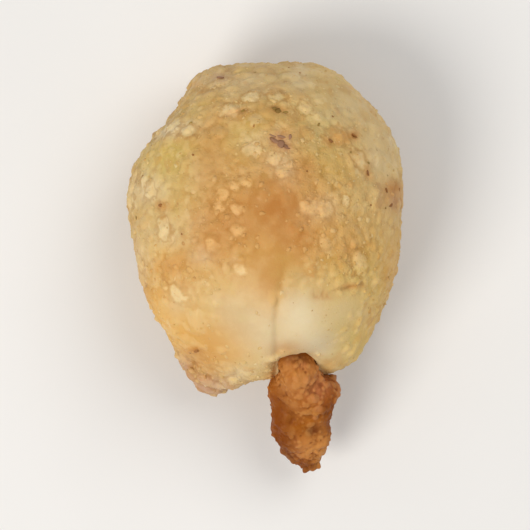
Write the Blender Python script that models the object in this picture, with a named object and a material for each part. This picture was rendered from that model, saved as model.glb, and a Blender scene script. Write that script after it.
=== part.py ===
"""A stuffed pretzel bite: a baked ball of dough under a crust of grated hard cheese.

It lies as it was baked, flat side down. The filling runs through its middle, and at
one end some of it has burst out of the seam and browned into a stubby tongue.
"""

import math
import random

import bmesh
import bpy
import numpy as np
from mathutils import Matrix, Vector, noise

MM = 0.001

# The ball of dough. X runs across it, -Y towards the leaking end, and Z = 0 is what it lies on.
BODY_WIDTH = 39.7 * MM
BODY_LENGTH = 46.6 * MM
BODY_HEIGHT = 31.0 * MM
GIRTH_HEIGHT = 13.5 * MM  # height at which the sides are fullest
FLATTENED_BY = 4.6 * MM  # how much of the round underside the flat base takes away
PLAN_ROUNDNESS = 2.25  # 2 is an ellipse from above, and more is fuller at the corners
SIDE_ROUNDNESS = 2.05  # the same, as seen from the side
BASE_FILLET = 1.4 * MM
UNEVEN_BY = 0.35 * MM
UNEVEN_EVERY = 8.0 * MM
NOISE_PEAK = 0.625  # about the highest value of the noise behind it
SEARCH_STEPS = 18  # halvings that find the skin under a point of the view from above
SMALLEST = 1e-9  # keeps a division by a length from failing at the very middle

# Swellings and hollows of the dough: where, how high, and how far they reach, in millimetres.
SWELLINGS = (
    ((18.5, 12.0, 14.0), 1.1, 5.0),  # right shoulder
    ((8.5, 22.0, 14.0), 0.9, 4.6),  # far end, where the dough was gathered
    ((-9.0, 21.5, 14.0), 1.3, 3.2),  # far end on the left, squared off
    ((-14.0, 16.0, 14.0), -2.3, 3.6),  # hollow left of the far end
    ((-19.5, 4.5, 13.0), 0.7, 4.0),  # left side, where the crust is thickest
    ((-17.0, -11.5, 14.0), -0.8, 4.5),  # waist on the left
    ((18.3, -12.8, 14.0), -0.8, 4.5),  # waist on the right
    ((11.8, -20.2, 14.0), 1.3, 4.0),  # lobe to the right of the leak
    ((-8.6, -21.6, 10.5), 3.4, 3.1),  # torn skirt to the left of the leak
    ((-7.2, -21.8, 8.0), 1.9, 1.8),  # its lower lip, rolled out
    ((-12.4, -19.4, 10.0), 0.6, 1.3),  # bump at its outer corner
    ((-10.4, -20.6, 15.0), -0.7, 1.2),  # dent above it
    ((-4.6, -22.4, 14.5), 1.0, 1.1),  # crust that curls down beside it
    ((0.0, -23.5, 12.0), -1.1, 2.4),  # notch between the skirt and the leak
    ((5.6, -14.0, 26.0), 1.5, 4.0),  # thin dough stretched over the filling
    ((4.3, -21.0, 19.6), -3.0, 2.0),  # mouth, drawn back where the filling burst out
)

# The seam: a fold that opens from the crown down to the mouth, its left flap on top.
SEAM_X = 1.4 * MM
SEAM_CURL = 1.8 * MM  # how far its upper end leans to +X
SEAM_START_Y = -3.0 * MM
SEAM_OPEN_Y = -14.0 * MM
SEAM_DEPTH = 0.28 * MM
SEAM_HALF_WIDTH = 0.9 * MM
SEAM_FADES_AT = 9.5 * MM  # height on the end wall where the seam has closed
SEAM_FULL_AT = 17.0 * MM  # height above which it is as deep as it gets
FLAP_RISE = 0.4 * MM
FLAP_REACH = 5.0 * MM

SKIN_SUBDIVISIONS = 7
SKIN_KEPT = 0.055  # share of the skin's triangles that the decimation leaves
BASE_TOLERANCE = 0.01 * MM  # how far the decimation may lift corners of the flat base

# The filling from its far end to the tongue's tip: x, y, z, half width and half thickness, in millimetres.
FILLING_STATIONS = (
    (-1.0, 12.5, 14.5, 7.5, 5.6),
    (0.0, 4.0, 14.6, 9.6, 6.8),
    (1.6, -5.0, 15.0, 9.0, 6.6),
    (3.2, -14.0, 15.8, 5.6, 4.8),
    (4.3, -20.4, 16.0, 3.2, 4.6),
    (5.4, -25.0, 14.4, 4.8, 4.0),
    (5.2, -30.8, 10.7, 4.0, 3.0),
    (5.4, -34.0, 8.3, 2.5, 2.2),
    (6.3, -36.0, 6.6, 0.8, 1.1),
)
FAR_END_ROUNDING = 0.16  # share of the filling's length that each rounded end takes up
TIP_ROUNDING = 0.06
LOOK_AHEAD = 0.01  # share of its length to each side of a point that shows which way it runs there
FILLING_SIDES = 24
FILLING_RINGS = 42
EVEN_RINGS = 0.4  # 1 spaces the rings evenly, and less crowds them towards the ends
FILLING_LUMPS = 0.55 * MM
FILLING_LUMP_SIZE = 3.6 * MM

# Blisters and slumps of the tongue: where, how high, and how far they reach, in millimetres.
BLISTERS = (
    ((9.4, -24.6, 15.6), 0.3, 1.9),  # shoulder that ran out to the right
    ((1.0, -25.8, 14.2), 0.2, 1.9),  # shoulder that ran out to the left
    ((4.8, -22.6, 19.4), 0.4, 1.3),
    ((8.2, -31.4, 12.5), 0.6, 1.5),
    ((3.0, -29.6, 13.5), 0.5, 1.4),
    ((6.6, -35.4, 9.5), 0.5, 1.2),
)
CLEARANCE = 0.35 * MM  # gap between the filling and the dough around it

# Crumbs of grated cheese that stand out: x, y and size, in millimetres.
STANDING_CRUMBS = (
    (-16.1, 13.6, 3.8),
    (-13.6, 13.9, 2.4),
    (-11.3, 13.1, 2.0),
    (-20.0, 3.4, 3.8),
    (-19.6, 5.6, 2.8),
    (-17.0, 4.4, 2.2),
    (-18.4, -6.0, 2.4),
    (-15.0, -1.2, 2.4),
    (-12.9, -10.6, 2.4),
    (6.1, 2.0, 2.4),
    (8.6, 1.5, 2.6),
    (11.5, 3.1, 1.6),
    (1.1, 9.2, 2.0),
    (2.6, 7.2, 2.4),
    (-2.0, 10.4, 2.6),
    (-4.2, 1.6, 2.0),
    (-7.0, 2.2, 1.8),
    (-6.4, 3.8, 1.7),
    (-4.8, 4.9, 1.6),
    (-3.0, 5.6, 1.6),
    (-8.0, -3.3, 1.8),
    (-4.2, -1.4, 1.6),
    (-4.0, -6.9, 1.7),
    (8.7, -3.2, 1.6),
    (13.4, -6.1, 2.8),
    (18.6, 12.2, 3.0),
    (13.2, 9.2, 2.4),
    (10.4, 12.3, 2.6),
    (-5.2, 16.2, 2.4),
    (-7.0, 20.2, 2.6),
    (-2.4, 18.1, 2.2),
    (1.6, 18.1, 2.0),
    (5.5, 16.6, 2.0),
    (-12.3, -20.9, 2.2),
    (-9.0, -23.7, 2.8),
    (-6.9, -24.4, 2.4),
    (-4.7, -23.4, 2.2),
)

# Crumbs on the torn skirt, below the height of the dough's middle: x, y, z and size, in millimetres.
SKIRT_CRUMBS = (
    (-13.6, -20.4, 10.5, 2.0),
    (-12.4, -21.8, 9.5, 2.2),
    (-11.0, -23.2, 9.0, 1.8),
    (-9.6, -24.4, 8.5, 2.4),
    (-8.0, -25.2, 8.5, 2.0),
    (-6.6, -25.0, 8.5, 2.2),
    (-5.4, -24.2, 10.0, 1.8),
    (-4.0, -23.8, 11.5, 2.0),
    (-2.6, -23.4, 12.5, 1.6),
)
CRUMB_SEED = 11
SCATTERED_CRUMBS = 108
CRUMB_SIZES = (1.9 * MM, 3.2 * MM)
LOWEST_CRUMB = 5.0 * MM
LOWEST_DRAW = -0.45  # no ray drawn for a crumb falls more steeply than this
CRUMB_SINK = 0.17  # share of its size that a crumb's middle lies below the skin
CRUMB_SPACING = 0.8  # nearest that two scattered crumbs lie, as a share of their mean size
CLEAR_OF_LEAK = 1.0 * MM
LEAK_SAMPLES = (12, 40)  # sides and rings of the points that stand for the filling there

# How far a crumb's corners, length, width, height and tilt may differ, as shares and radians.
CORNER_RANGE = (0.82, 1.15)
LENGTH_RANGE = (1.0, 1.3)
WIDTH_RANGE = (0.8, 1.0)
HEIGHT_RANGE = (0.6, 0.85)
TILT_RANGE = (-0.4, 0.4)

# Bald stretches of the crust: middle x and y, half width and half length, in millimetres.
BALD_STRETCHES = (
    (0.3, -2.5, 3.6, 7.5),  # browned crown
    (-3.6, -14.5, 5.2, 7.5),  # smooth flap left of the seam
    (6.0, -14.5, 5.0, 6.0),  # stretched dough right of the seam
)

DOUGH_COLOUR = (0.74, 0.50, 0.22)
DOUGH_ROUGHNESS = 0.6
FILLING_COLOUR = (0.42, 0.16, 0.045)
FILLING_ROUGHNESS = 0.45


def smooth_step(value, start, end):
    """0 before start and 1 past end, with an S-shaped change between them."""
    share = np.clip((value - start) / (end - start), 0.0, 1.0)
    return share * share * (3.0 - 2.0 * share)


def bell(points, centre, spread):
    """1 at a centre and fading to 0 over the spread, both in millimetres."""
    apart = ((points / MM - np.array(centre)) ** 2).sum(axis=1)
    return np.exp(-apart / (2.0 * spread**2))


def unevenness(points, every):
    """Smooth noise between about -1 and 1, its lumps a given distance apart."""
    return np.array([noise.noise(Vector(point)) for point in points / every]) / NOISE_PEAK


def seam_relief(points):
    """How far the seam lifts or sinks the skin: a groove with a raised flap to its left."""
    x, y, z = points.T
    aside = x - SEAM_X - SEAM_CURL * smooth_step(y, SEAM_OPEN_Y, SEAM_START_Y)
    opened = 1.0 - smooth_step(y, SEAM_OPEN_Y, SEAM_START_Y)
    opened *= smooth_step(z, SEAM_FADES_AT, SEAM_FULL_AT)
    groove = np.exp(-((aside / SEAM_HALF_WIDTH) ** 2))
    flap = smooth_step(-aside, 0.0, SEAM_HALF_WIDTH) * np.exp(-((aside / FLAP_REACH) ** 2))
    return opened * (FLAP_RISE * flap - SEAM_DEPTH * groove)


def skin_points(directions):
    """Where rays from the middle of the dough meet its skin."""
    middle = np.array([0.0, 0.0, GIRTH_HEIGHT])
    rise = np.where(directions[:, 2] > 0.0, BODY_HEIGHT - GIRTH_HEIGHT, GIRTH_HEIGHT + FLATTENED_BY)
    across, along, up = np.abs(directions).T / np.stack([
        np.full_like(rise, BODY_WIDTH / 2.0),
        np.full_like(rise, BODY_LENGTH / 2.0),
        rise,
    ])
    level = (across**PLAN_ROUNDNESS + along**PLAN_ROUNDNESS) ** (1.0 / PLAN_ROUNDNESS)
    reach = (level**SIDE_ROUNDNESS + up**SIDE_ROUNDNESS) ** (-1.0 / SIDE_ROUNDNESS)
    plain = middle + directions * reach[:, None]
    for centre, height, spread in SWELLINGS:
        reach = reach + height * MM * bell(plain, centre, spread)
    reach = reach + seam_relief(plain)
    reach = reach + UNEVEN_BY * unevenness(plain, UNEVEN_EVERY)
    points = middle + directions * reach[:, None]
    height = points[:, 2]
    settled = np.where(height < -BASE_FILLET, 0.0, (height + BASE_FILLET) ** 2 / (4.0 * BASE_FILLET))
    points[:, 2] = np.where(height < BASE_FILLET, settled, height)
    return points


def skin_seen_from_above(x, y):
    """The ray from the middle, and its point on the skin, that lie at x and y in a view from above."""
    wanted = math.hypot(x, y)
    low, high = 0.0, math.pi / 2.0
    for _ in range(SEARCH_STEPS):
        tilt = (low + high) / 2.0
        flat = math.cos(tilt) / max(wanted, SMALLEST)
        direction = np.array([[x * flat, y * flat, math.sin(tilt)]])
        point = skin_points(direction)[0]
        if math.hypot(point[0], point[1]) > wanted:
            low = tilt
        else:
            high = tilt
    return direction[0], point


def along_filling(share):
    """The filling's stations, smoothly joined, read at shares of its length."""
    stations = np.array(FILLING_STATIONS) * MM
    place = share * (len(stations) - 1)
    index = np.clip(np.floor(place).astype(int), 0, len(stations) - 2)
    step = (place - index)[:, None]
    first, last = stations[index], stations[index + 1]
    before = stations[np.maximum(index - 1, 0)]
    after = stations[np.minimum(index + 2, len(stations) - 1)]
    bend = 2.0 * before - 5.0 * first + 4.0 * last - after
    twist = 3.0 * (first - last) + after - before
    return first + 0.5 * step * (last - before + step * (bend + step * twist))


def filling_points(directions):
    """A unit sphere's points, its poles on Z, drawn out along the filling's stations."""
    turn = np.arccos(np.clip(-directions[:, 2], -1.0, 1.0)) / math.pi
    share = EVEN_RINGS * turn + (1.0 - EVEN_RINGS) * (1.0 - np.cos(math.pi * turn)) / 2.0
    around = np.arctan2(directions[:, 1], directions[:, 0])
    further = along_filling(np.minimum(share + LOOK_AHEAD, 1.0))
    ahead = further - along_filling(np.maximum(share - LOOK_AHEAD, 0.0))
    up = np.stack([np.zeros_like(share), ahead[:, 2], -ahead[:, 1]], axis=1)
    up /= np.linalg.norm(up, axis=1)[:, None]
    stations = along_filling(share)
    nearest_end = np.minimum(share / FAR_END_ROUNDING, (1.0 - share) / TIP_ROUNDING)
    closing = np.sqrt(1.0 - (1.0 - np.clip(nearest_end, 0.0, 1.0)) ** 2)
    section = np.stack([np.cos(around), np.zeros_like(share), np.zeros_like(share)], axis=1)
    spoke = section * stations[:, 3:4] + up * np.sin(around)[:, None] * stations[:, 4:5]
    points = stations[:, :3] + spoke * closing[:, None]
    rise = FILLING_LUMPS * unevenness(points, FILLING_LUMP_SIZE)
    for centre, height, spread in BLISTERS:
        rise = rise + height * MM * bell(points, centre, spread)
    return points + spoke / np.linalg.norm(spoke, axis=1)[:, None] * (rise * closing)[:, None]


def is_bald(point):
    """Whether a point on the skin lies where the crust has no coarse crumbs."""
    x, y = point[0] / MM, point[1] / MM
    inside = [
        ((x - middle_x) / half_width) ** 2 + ((y - middle_y) / half_length) ** 2 < 1.0
        for middle_x, middle_y, half_width, half_length in BALD_STRETCHES
    ]
    return point[2] < LOWEST_CRUMB or any(inside)


def crumb_places():
    """Each crumb's ray from the middle, its point on the skin and its size, those placed by hand first."""
    places = []
    for x, y, size in STANDING_CRUMBS:
        direction, point = skin_seen_from_above(x * MM, y * MM)
        places.append((direction, point, size * MM))
    for x, y, z, size in SKIRT_CRUMBS:
        direction = np.array(Vector((x * MM, y * MM, z * MM - GIRTH_HEIGHT)).normalized())
        places.append((direction, skin_points(direction[None, :])[0], size * MM))
    placed_by_hand = len(places)
    draw = random.Random(CRUMB_SEED)
    leak = filling_points(sphere_directions(*LEAK_SAMPLES))
    smallest, largest = CRUMB_SIZES
    while len(places) < placed_by_hand + SCATTERED_CRUMBS:
        height = draw.uniform(LOWEST_DRAW, 1.0)
        angle = draw.uniform(0.0, 2.0 * math.pi)
        spread = math.sqrt(1.0 - height * height)
        direction = np.array([spread * math.cos(angle), spread * math.sin(angle), height])
        share_done = (len(places) - placed_by_hand) / SCATTERED_CRUMBS
        size = largest + (smallest - largest) * share_done
        point = skin_points(direction[None, :])[0]
        clear_of_leak = np.linalg.norm(leak - point, axis=1).min() > CLEAR_OF_LEAK + size / 2.0
        spaced = all(
            np.linalg.norm(point - other) > CRUMB_SPACING * (size + other_size) / 2.0
            for _, other, other_size in places
        )
        if clear_of_leak and spaced and not is_bald(point):
            places.append((direction, point, size))
    return places


def sphere_directions(sides, rings):
    """The points of a unit sphere with its poles on Z."""
    ball = bmesh.new()
    bmesh.ops.create_uvsphere(ball, u_segments=sides, v_segments=rings, radius=1.0)
    directions = np.array([corner.co for corner in ball.verts])
    ball.free()
    return directions


def move_corners(shape, points):
    for corner, point in zip(shape.verts, points):
        corner.co = point


def new_object(name, shape, collection):
    mesh = bpy.data.meshes.new(name)
    shape.to_mesh(mesh)
    shape.free()
    made = bpy.data.objects.new(name, mesh)
    collection.objects.link(made)
    return made


def new_collection(name):
    made = bpy.data.collections.new(name)
    bpy.context.scene.collection.children.link(made)
    return made


def apply_modifiers(made):
    """Keep the shape that the modifiers give, and drop the modifiers."""
    graph = bpy.context.evaluated_depsgraph_get()
    plain = bpy.data.meshes.new_from_object(made.evaluated_get(graph))
    made.modifiers.clear()
    made.data = plain


def food_material(name, colour, roughness):
    material = bpy.data.materials.new(name)
    material.use_nodes = True
    shader = material.node_tree.nodes["Principled BSDF"]
    shader.inputs["Base Color"].default_value = (*colour, 1.0)
    shader.inputs["Roughness"].default_value = roughness
    shader.inputs["Metallic"].default_value = 0.0
    return material


def clear_scene():
    for old in list(bpy.data.objects):
        bpy.data.objects.remove(old, do_unlink=True)


def level_base(made):
    """Put the corners of the flat base back at exactly zero height."""
    for corner in made.data.vertices:
        if corner.co.z < BASE_TOLERANCE:
            corner.co.z = 0.0


def make_filling(collection):
    """The cheese core, its neck through the mouth and the browned tongue outside."""
    shape = bmesh.new()
    bmesh.ops.create_uvsphere(shape, u_segments=FILLING_SIDES, v_segments=FILLING_RINGS, radius=1.0)
    move_corners(shape, filling_points(np.array([corner.co for corner in shape.verts])))
    bmesh.ops.triangulate(shape, faces=shape.faces)
    bmesh.ops.recalc_face_normals(shape, faces=shape.faces)
    filling = new_object("filling", shape, collection)
    filling.data.shade_smooth()
    filling.data.materials.append(food_material("browned_filling", FILLING_COLOUR, FILLING_ROUGHNESS))
    return filling


def make_skin(collection):
    """The ball of dough with its seam, swellings and flat base, before crumbs and filling."""
    shape = bmesh.new()
    bmesh.ops.create_icosphere(shape, subdivisions=SKIN_SUBDIVISIONS, radius=1.0)
    move_corners(shape, skin_points(np.array([corner.co.normalized() for corner in shape.verts])))
    dough = new_object("dough", shape, collection)
    thin_out = dough.modifiers.new("thin_out", "DECIMATE")
    thin_out.ratio = SKIN_KEPT
    apply_modifiers(dough)
    level_base(dough)
    return dough


def make_crumb(name, direction, point, size, draw, collection):
    """One chip of grated cheese: a small ball, flattened, with its corners pushed about."""
    shape = bmesh.new()
    bmesh.ops.create_icosphere(shape, subdivisions=1, radius=size / 2.0)
    for corner in shape.verts:
        corner.co *= draw.uniform(*CORNER_RANGE)
    sides = [draw.uniform(*side_range) for side_range in (LENGTH_RANGE, WIDTH_RANGE, HEIGHT_RANGE)]
    stretch = Matrix.Diagonal(sides)
    spin = Matrix.Rotation(draw.uniform(0.0, 2.0 * math.pi), 3, "Z")
    tilt = Matrix.Rotation(draw.uniform(*TILT_RANGE), 3, "X")
    lie = Vector(direction).to_track_quat("Z", "Y").to_matrix()
    middle = Vector(point) - Vector(direction) * size * CRUMB_SINK
    for corner in shape.verts:
        corner.co = lie @ (tilt @ (spin @ (stretch @ corner.co))) + middle
    return new_object(name, shape, collection)


def fuse_crumbs(dough):
    """Join the coarse crumbs of the crust to the dough as one solid."""
    crumbs = new_collection("crumbs")
    draw = random.Random(CRUMB_SEED)
    for number, (direction, point, size) in enumerate(crumb_places()):
        make_crumb(f"crumb_{number:03d}", direction, point, size, draw, crumbs)
    fuse = dough.modifiers.new("fuse_crumbs", "BOOLEAN")
    fuse.operation = "UNION"
    fuse.operand_type = "COLLECTION"
    fuse.collection = crumbs
    fuse.solver = "EXACT"
    apply_modifiers(dough)
    for crumb in list(crumbs.objects):
        bpy.data.objects.remove(crumb, do_unlink=True)
    bpy.data.collections.remove(crumbs)


def make_room_for_filling(dough, filling, cutters):
    """Hollow the dough where the filling runs, and open the mouth it leaks from."""
    room = bpy.data.objects.new("room_for_filling", filling.data)
    cutters.objects.link(room)
    room.hide_render = True
    room.display_type = "WIRE"
    loosen = room.modifiers.new("loosen", "DISPLACE")
    loosen.strength = CLEARANCE
    loosen.mid_level = 0.0
    hollow = dough.modifiers.new("hollow", "BOOLEAN")
    hollow.operation = "DIFFERENCE"
    hollow.object = room
    hollow.solver = "EXACT"


def main():
    clear_scene()
    bite = new_collection("stuffed_pretzel_bite")
    cutters = new_collection("cutters")
    filling = make_filling(bite)
    dough = make_skin(bite)
    fuse_crumbs(dough)
    make_room_for_filling(dough, filling, cutters)
    dough.data.materials.append(food_material("baked_dough", DOUGH_COLOUR, DOUGH_ROUGHNESS))


main()
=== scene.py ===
# %% [markdown]
# # A stuffed pretzel bite
#
# The real thing is a ball of soft dough, closed round melted cheese, brushed with butter,
# rolled in grated hard cheese and baked. Its crust is pale and knobbly, with a brown blush
# on the crown. At one end the seam has opened, and some of the filling ran out of it and
# browned into a stubby tongue.
#
# The bite is made here in the order that a cook would make it: the dough, its coat of
# cheese, the filling, and then the colours that the oven gave. Lengths are in metres, and
# MM turns millimetres into metres.

# %% Load the solids that the looks are fitted to
import math
import random

import bmesh
import bpy
import numpy as np
from mathutils import Matrix, Vector, kdtree, noise


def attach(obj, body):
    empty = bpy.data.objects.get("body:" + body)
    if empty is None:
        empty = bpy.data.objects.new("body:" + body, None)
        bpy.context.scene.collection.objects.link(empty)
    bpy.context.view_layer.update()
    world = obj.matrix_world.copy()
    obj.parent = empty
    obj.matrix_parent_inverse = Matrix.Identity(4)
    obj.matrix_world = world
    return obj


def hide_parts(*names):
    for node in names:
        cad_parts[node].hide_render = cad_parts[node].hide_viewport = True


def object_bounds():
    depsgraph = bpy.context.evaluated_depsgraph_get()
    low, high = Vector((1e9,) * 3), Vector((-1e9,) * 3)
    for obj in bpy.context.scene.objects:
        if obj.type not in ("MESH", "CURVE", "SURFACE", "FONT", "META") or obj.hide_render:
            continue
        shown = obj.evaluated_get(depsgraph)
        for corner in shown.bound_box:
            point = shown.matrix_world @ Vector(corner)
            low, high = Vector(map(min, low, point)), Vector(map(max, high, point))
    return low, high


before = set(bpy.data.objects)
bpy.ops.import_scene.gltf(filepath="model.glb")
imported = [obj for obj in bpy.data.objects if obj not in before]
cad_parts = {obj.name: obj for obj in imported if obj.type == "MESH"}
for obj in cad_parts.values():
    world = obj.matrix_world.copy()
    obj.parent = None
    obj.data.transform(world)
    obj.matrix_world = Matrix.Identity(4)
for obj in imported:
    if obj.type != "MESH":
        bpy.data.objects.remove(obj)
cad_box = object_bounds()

MM = 0.001
low_corner, high_corner = cad_box
print("solids:", sorted(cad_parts))
print("their size in mm:", [round(side / MM, 1) for side in high_corner - low_corner])

# %% [markdown]
# ## Camera
#
# The bite is seen from straight above, with its leaking end towards the lower edge of the
# picture. A camera at arm's length through a long lens sees it without the bulge that a
# close, wide lens would give. The lens follows from the width that the picture takes in, so
# that the framing is stated as a real size.

# %% Look straight down on the bite
CAMERA_HEIGHT = 0.6
PICTURE_WIDTH = 78 * MM  # what the picture takes in at half the bite's height
SENSOR_WIDTH = 36.0  # of the camera, in millimetres as the lens is

bite_middle = (low_corner + high_corner) / 2.0
camera_data = bpy.data.cameras.new("camera")
camera_data.sensor_width = SENSOR_WIDTH
camera_data.lens = SENSOR_WIDTH * (CAMERA_HEIGHT - bite_middle.z) / PICTURE_WIDTH
camera = bpy.data.objects.new("camera", camera_data)
camera.location = (bite_middle.x, bite_middle.y, CAMERA_HEIGHT)
bpy.context.scene.collection.objects.link(camera)
bpy.context.scene.camera = camera
print("lens in mm:", round(camera_data.lens, 1))

# %% [markdown]
# ## Light
#
# Food is lit softly, as by a window: one large lamp on the left at the front models the
# crumbs, and a weaker one across from it and a pale surround fill the shadows. A small lamp
# would give hard black shadows between the crumbs. The picture keeps its colours as they are
# lit, with no film curve, because a crust's pale yellows are easily greyed by one.

# %% A window, a fill and a pale surround
# Each lamp: where it stands and how wide it is, in metres, its watts and its colour.
LAMPS = {
    "window": ((-0.42, -0.34, 0.62), 0.42, 3.82, (1.0, 0.97, 0.93)),
    "fill": ((0.35, 0.30, 0.70), 0.60, 2.3, (1.0, 0.985, 0.96)),
}
SURROUND_COLOUR = (0.93, 0.95, 1.0, 1.0)
SURROUND_STRENGTH = 0.45


def soft_lamp(name, stand, width, watts, glow):
    """A round lamp of a given width that faces the bite."""
    lamp_data = bpy.data.lights.new(name, "AREA")
    lamp_data.shape = "DISK"
    lamp_data.size = width
    lamp_data.energy = watts
    lamp_data.color = glow
    lamp = bpy.data.objects.new(name, lamp_data)
    lamp.location = stand
    lamp.rotation_euler = (bite_middle - Vector(stand)).to_track_quat("-Z", "Y").to_euler()
    bpy.context.scene.collection.objects.link(lamp)
    return lamp


lamps = [soft_lamp(name, *settings) for name, settings in LAMPS.items()]
surround = bpy.data.worlds.new("surround")
surround.use_nodes = True
backdrop = surround.node_tree.nodes["Background"]
backdrop.inputs["Color"].default_value = SURROUND_COLOUR
backdrop.inputs["Strength"].default_value = SURROUND_STRENGTH
bpy.context.scene.world = surround
bpy.context.scene.view_settings.view_transform = "Standard"
print("lamps:", [lamp.name for lamp in lamps])

# %% [markdown]
# ## Helpers for shapes
#
# The dough and the filling are both worked out as points from directions: a ray leaves the
# middle, and a formula says where it meets the skin. That keeps a natural form in a few
# named numbers, and any part of the scene can ask where the skin is. Smooth steps and bells
# are all that the formulas need, with a little smooth noise.

# %% Smooth steps, bells and noise
NOISE_PEAK = 0.625  # about the highest value of the noise behind it


def smooth_step(value, start, end):
    """0 before start and 1 past end, with an S-shaped change between them."""
    share = np.clip((value - start) / (end - start), 0.0, 1.0)
    return share * share * (3.0 - 2.0 * share)


def bell(points, centre, spread):
    """1 at a centre and fading to 0 over the spread, both in millimetres."""
    apart = ((points / MM - np.array(centre)) ** 2).sum(axis=1)
    return np.exp(-apart / (2.0 * spread**2))


def unevenness(points, every):
    """Smooth noise between about -1 and 1, its lumps a given distance apart."""
    return np.array([noise.noise(Vector(point)) for point in points / every]) / NOISE_PEAK


def unit(vectors):
    """Vectors of length 1 that point the same way."""
    return vectors / np.linalg.norm(vectors, axis=1)[:, None]


def from_middle(points, middle_x, middle_y, half_width, half_length):
    """How far points lie from the middle of an oval seen from above, 1 being its edge."""
    x, y = points.T[:2] / MM
    return np.hypot((x - middle_x) / half_width, (y - middle_y) / half_length)


print("a smooth step, a quarter and half of the way:", smooth_step(np.array([0.25, 0.5]), 0.0, 1.0))

# %% [markdown]
# ## The ball of dough
#
# Proofed dough is nearly a ball that has settled under its own weight, so a rounded form
# between a ball and a box is a close start. Swellings and hollows are added as bells, and
# the underside is pressed flat where the dough lay on its tray. The numbers are those of
# the solid that carries the looks, so the two stay the same size.

# %% Sizes of the dough
BODY_WIDTH = 39.7 * MM
BODY_LENGTH = 46.6 * MM
BODY_HEIGHT = 31.0 * MM
GIRTH_HEIGHT = 13.5 * MM  # height at which the sides are fullest
FLATTENED_BY = 4.6 * MM  # how much of the round underside the flat base takes away
PLAN_ROUNDNESS = 2.25  # 2 is an ellipse from above, and more is fuller at the corners
SIDE_ROUNDNESS = 2.05  # the same, as seen from the side
BASE_FILLET = 1.4 * MM
UNEVEN_BY = 0.35 * MM
UNEVEN_EVERY = 8.0 * MM

# Swellings and hollows of the dough: where, how high, and how far they reach, in millimetres.
SWELLINGS = (
    ((18.5, 12.0, 14.0), 1.1, 5.0),  # right shoulder
    ((8.5, 22.0, 14.0), 0.9, 4.6),  # far end, where the dough was gathered
    ((-9.0, 21.5, 14.0), 1.3, 3.2),  # far end on the left, squared off
    ((-14.0, 16.0, 14.0), -2.3, 3.6),  # hollow left of the far end
    ((-19.5, 4.5, 13.0), 0.7, 4.0),  # left side, where the crust is thickest
    ((-17.0, -11.5, 14.0), -0.8, 4.5),  # waist on the left
    ((18.3, -12.8, 14.0), -0.8, 4.5),  # waist on the right
    ((11.8, -20.2, 14.0), 1.3, 4.0),  # lobe to the right of the leak
    ((-8.6, -21.6, 10.5), 3.4, 3.1),  # torn skirt to the left of the leak
    ((-7.2, -21.8, 8.0), 1.9, 1.8),  # its lower lip, rolled out
    ((-12.4, -19.4, 10.0), 0.6, 1.3),  # bump at its outer corner
    ((-10.4, -20.6, 15.0), -0.7, 1.2),  # dent above it
    ((-4.6, -22.4, 14.5), 1.0, 1.1),  # crust that curls down beside it
    ((0.0, -23.5, 12.0), -1.1, 2.4),  # notch between the skirt and the leak
    ((5.6, -14.0, 26.0), 1.5, 4.0),  # thin dough stretched over the filling
    ((4.3, -21.0, 19.6), -3.0, 2.0),  # mouth, drawn back where the filling burst out
)
print("swellings and hollows:", len(SWELLINGS))

# %% [markdown]
# ### The seam
#
# The dough was pinched shut along the top, and in the oven the seam crept open towards the
# mouth. Its left flap lies a little higher than its right. As a formula that is a groove
# along a line that curls at its upper end, plus a step that fades away from it.

# %% Sizes and relief of the seam
SEAM_X = 1.4 * MM
SEAM_CURL = 1.8 * MM  # how far its upper end leans to +X
SEAM_START_Y = -3.0 * MM
SEAM_OPEN_Y = -14.0 * MM
SEAM_DEPTH = 0.28 * MM
SEAM_HALF_WIDTH = 0.9 * MM
SEAM_FADES_AT = 9.5 * MM  # height on the end wall where the seam has closed
SEAM_FULL_AT = 17.0 * MM  # height above which it is as deep as it gets
FLAP_RISE = 0.4 * MM
FLAP_REACH = 5.0 * MM


def beside_seam(points):
    """How far points lie to the right of the seam's line, and how far the seam is open there."""
    x, y, z = points.T
    aside = x - SEAM_X - SEAM_CURL * smooth_step(y, SEAM_OPEN_Y, SEAM_START_Y)
    opened = 1.0 - smooth_step(y, SEAM_OPEN_Y, SEAM_START_Y)
    return aside, opened * smooth_step(z, SEAM_FADES_AT, SEAM_FULL_AT)


def seam_relief(points):
    """How far the seam lifts or sinks the skin: a groove with a raised flap to its left."""
    aside, opened = beside_seam(points)
    groove = np.exp(-((aside / SEAM_HALF_WIDTH) ** 2))
    flap = smooth_step(-aside, 0.0, SEAM_HALF_WIDTH) * np.exp(-((aside / FLAP_REACH) ** 2))
    return opened * (FLAP_RISE * flap - SEAM_DEPTH * groove)


print("the seam opens over", round((SEAM_START_Y - SEAM_OPEN_Y) / MM), "mm")

# %% [markdown]
# ### Where the skin is
#
# The form is a formula, so the skin is found by following a ray from the middle. A spot that
# is known from a view from above, by its x and y, is found by halving the range of tilts
# until the ray comes out there.

# %% The skin, from the middle and from above
SEARCH_STEPS = 18  # halvings of the range of tilts
SMALLEST = 1e-9  # keeps a division by a length from failing at the very middle


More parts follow.
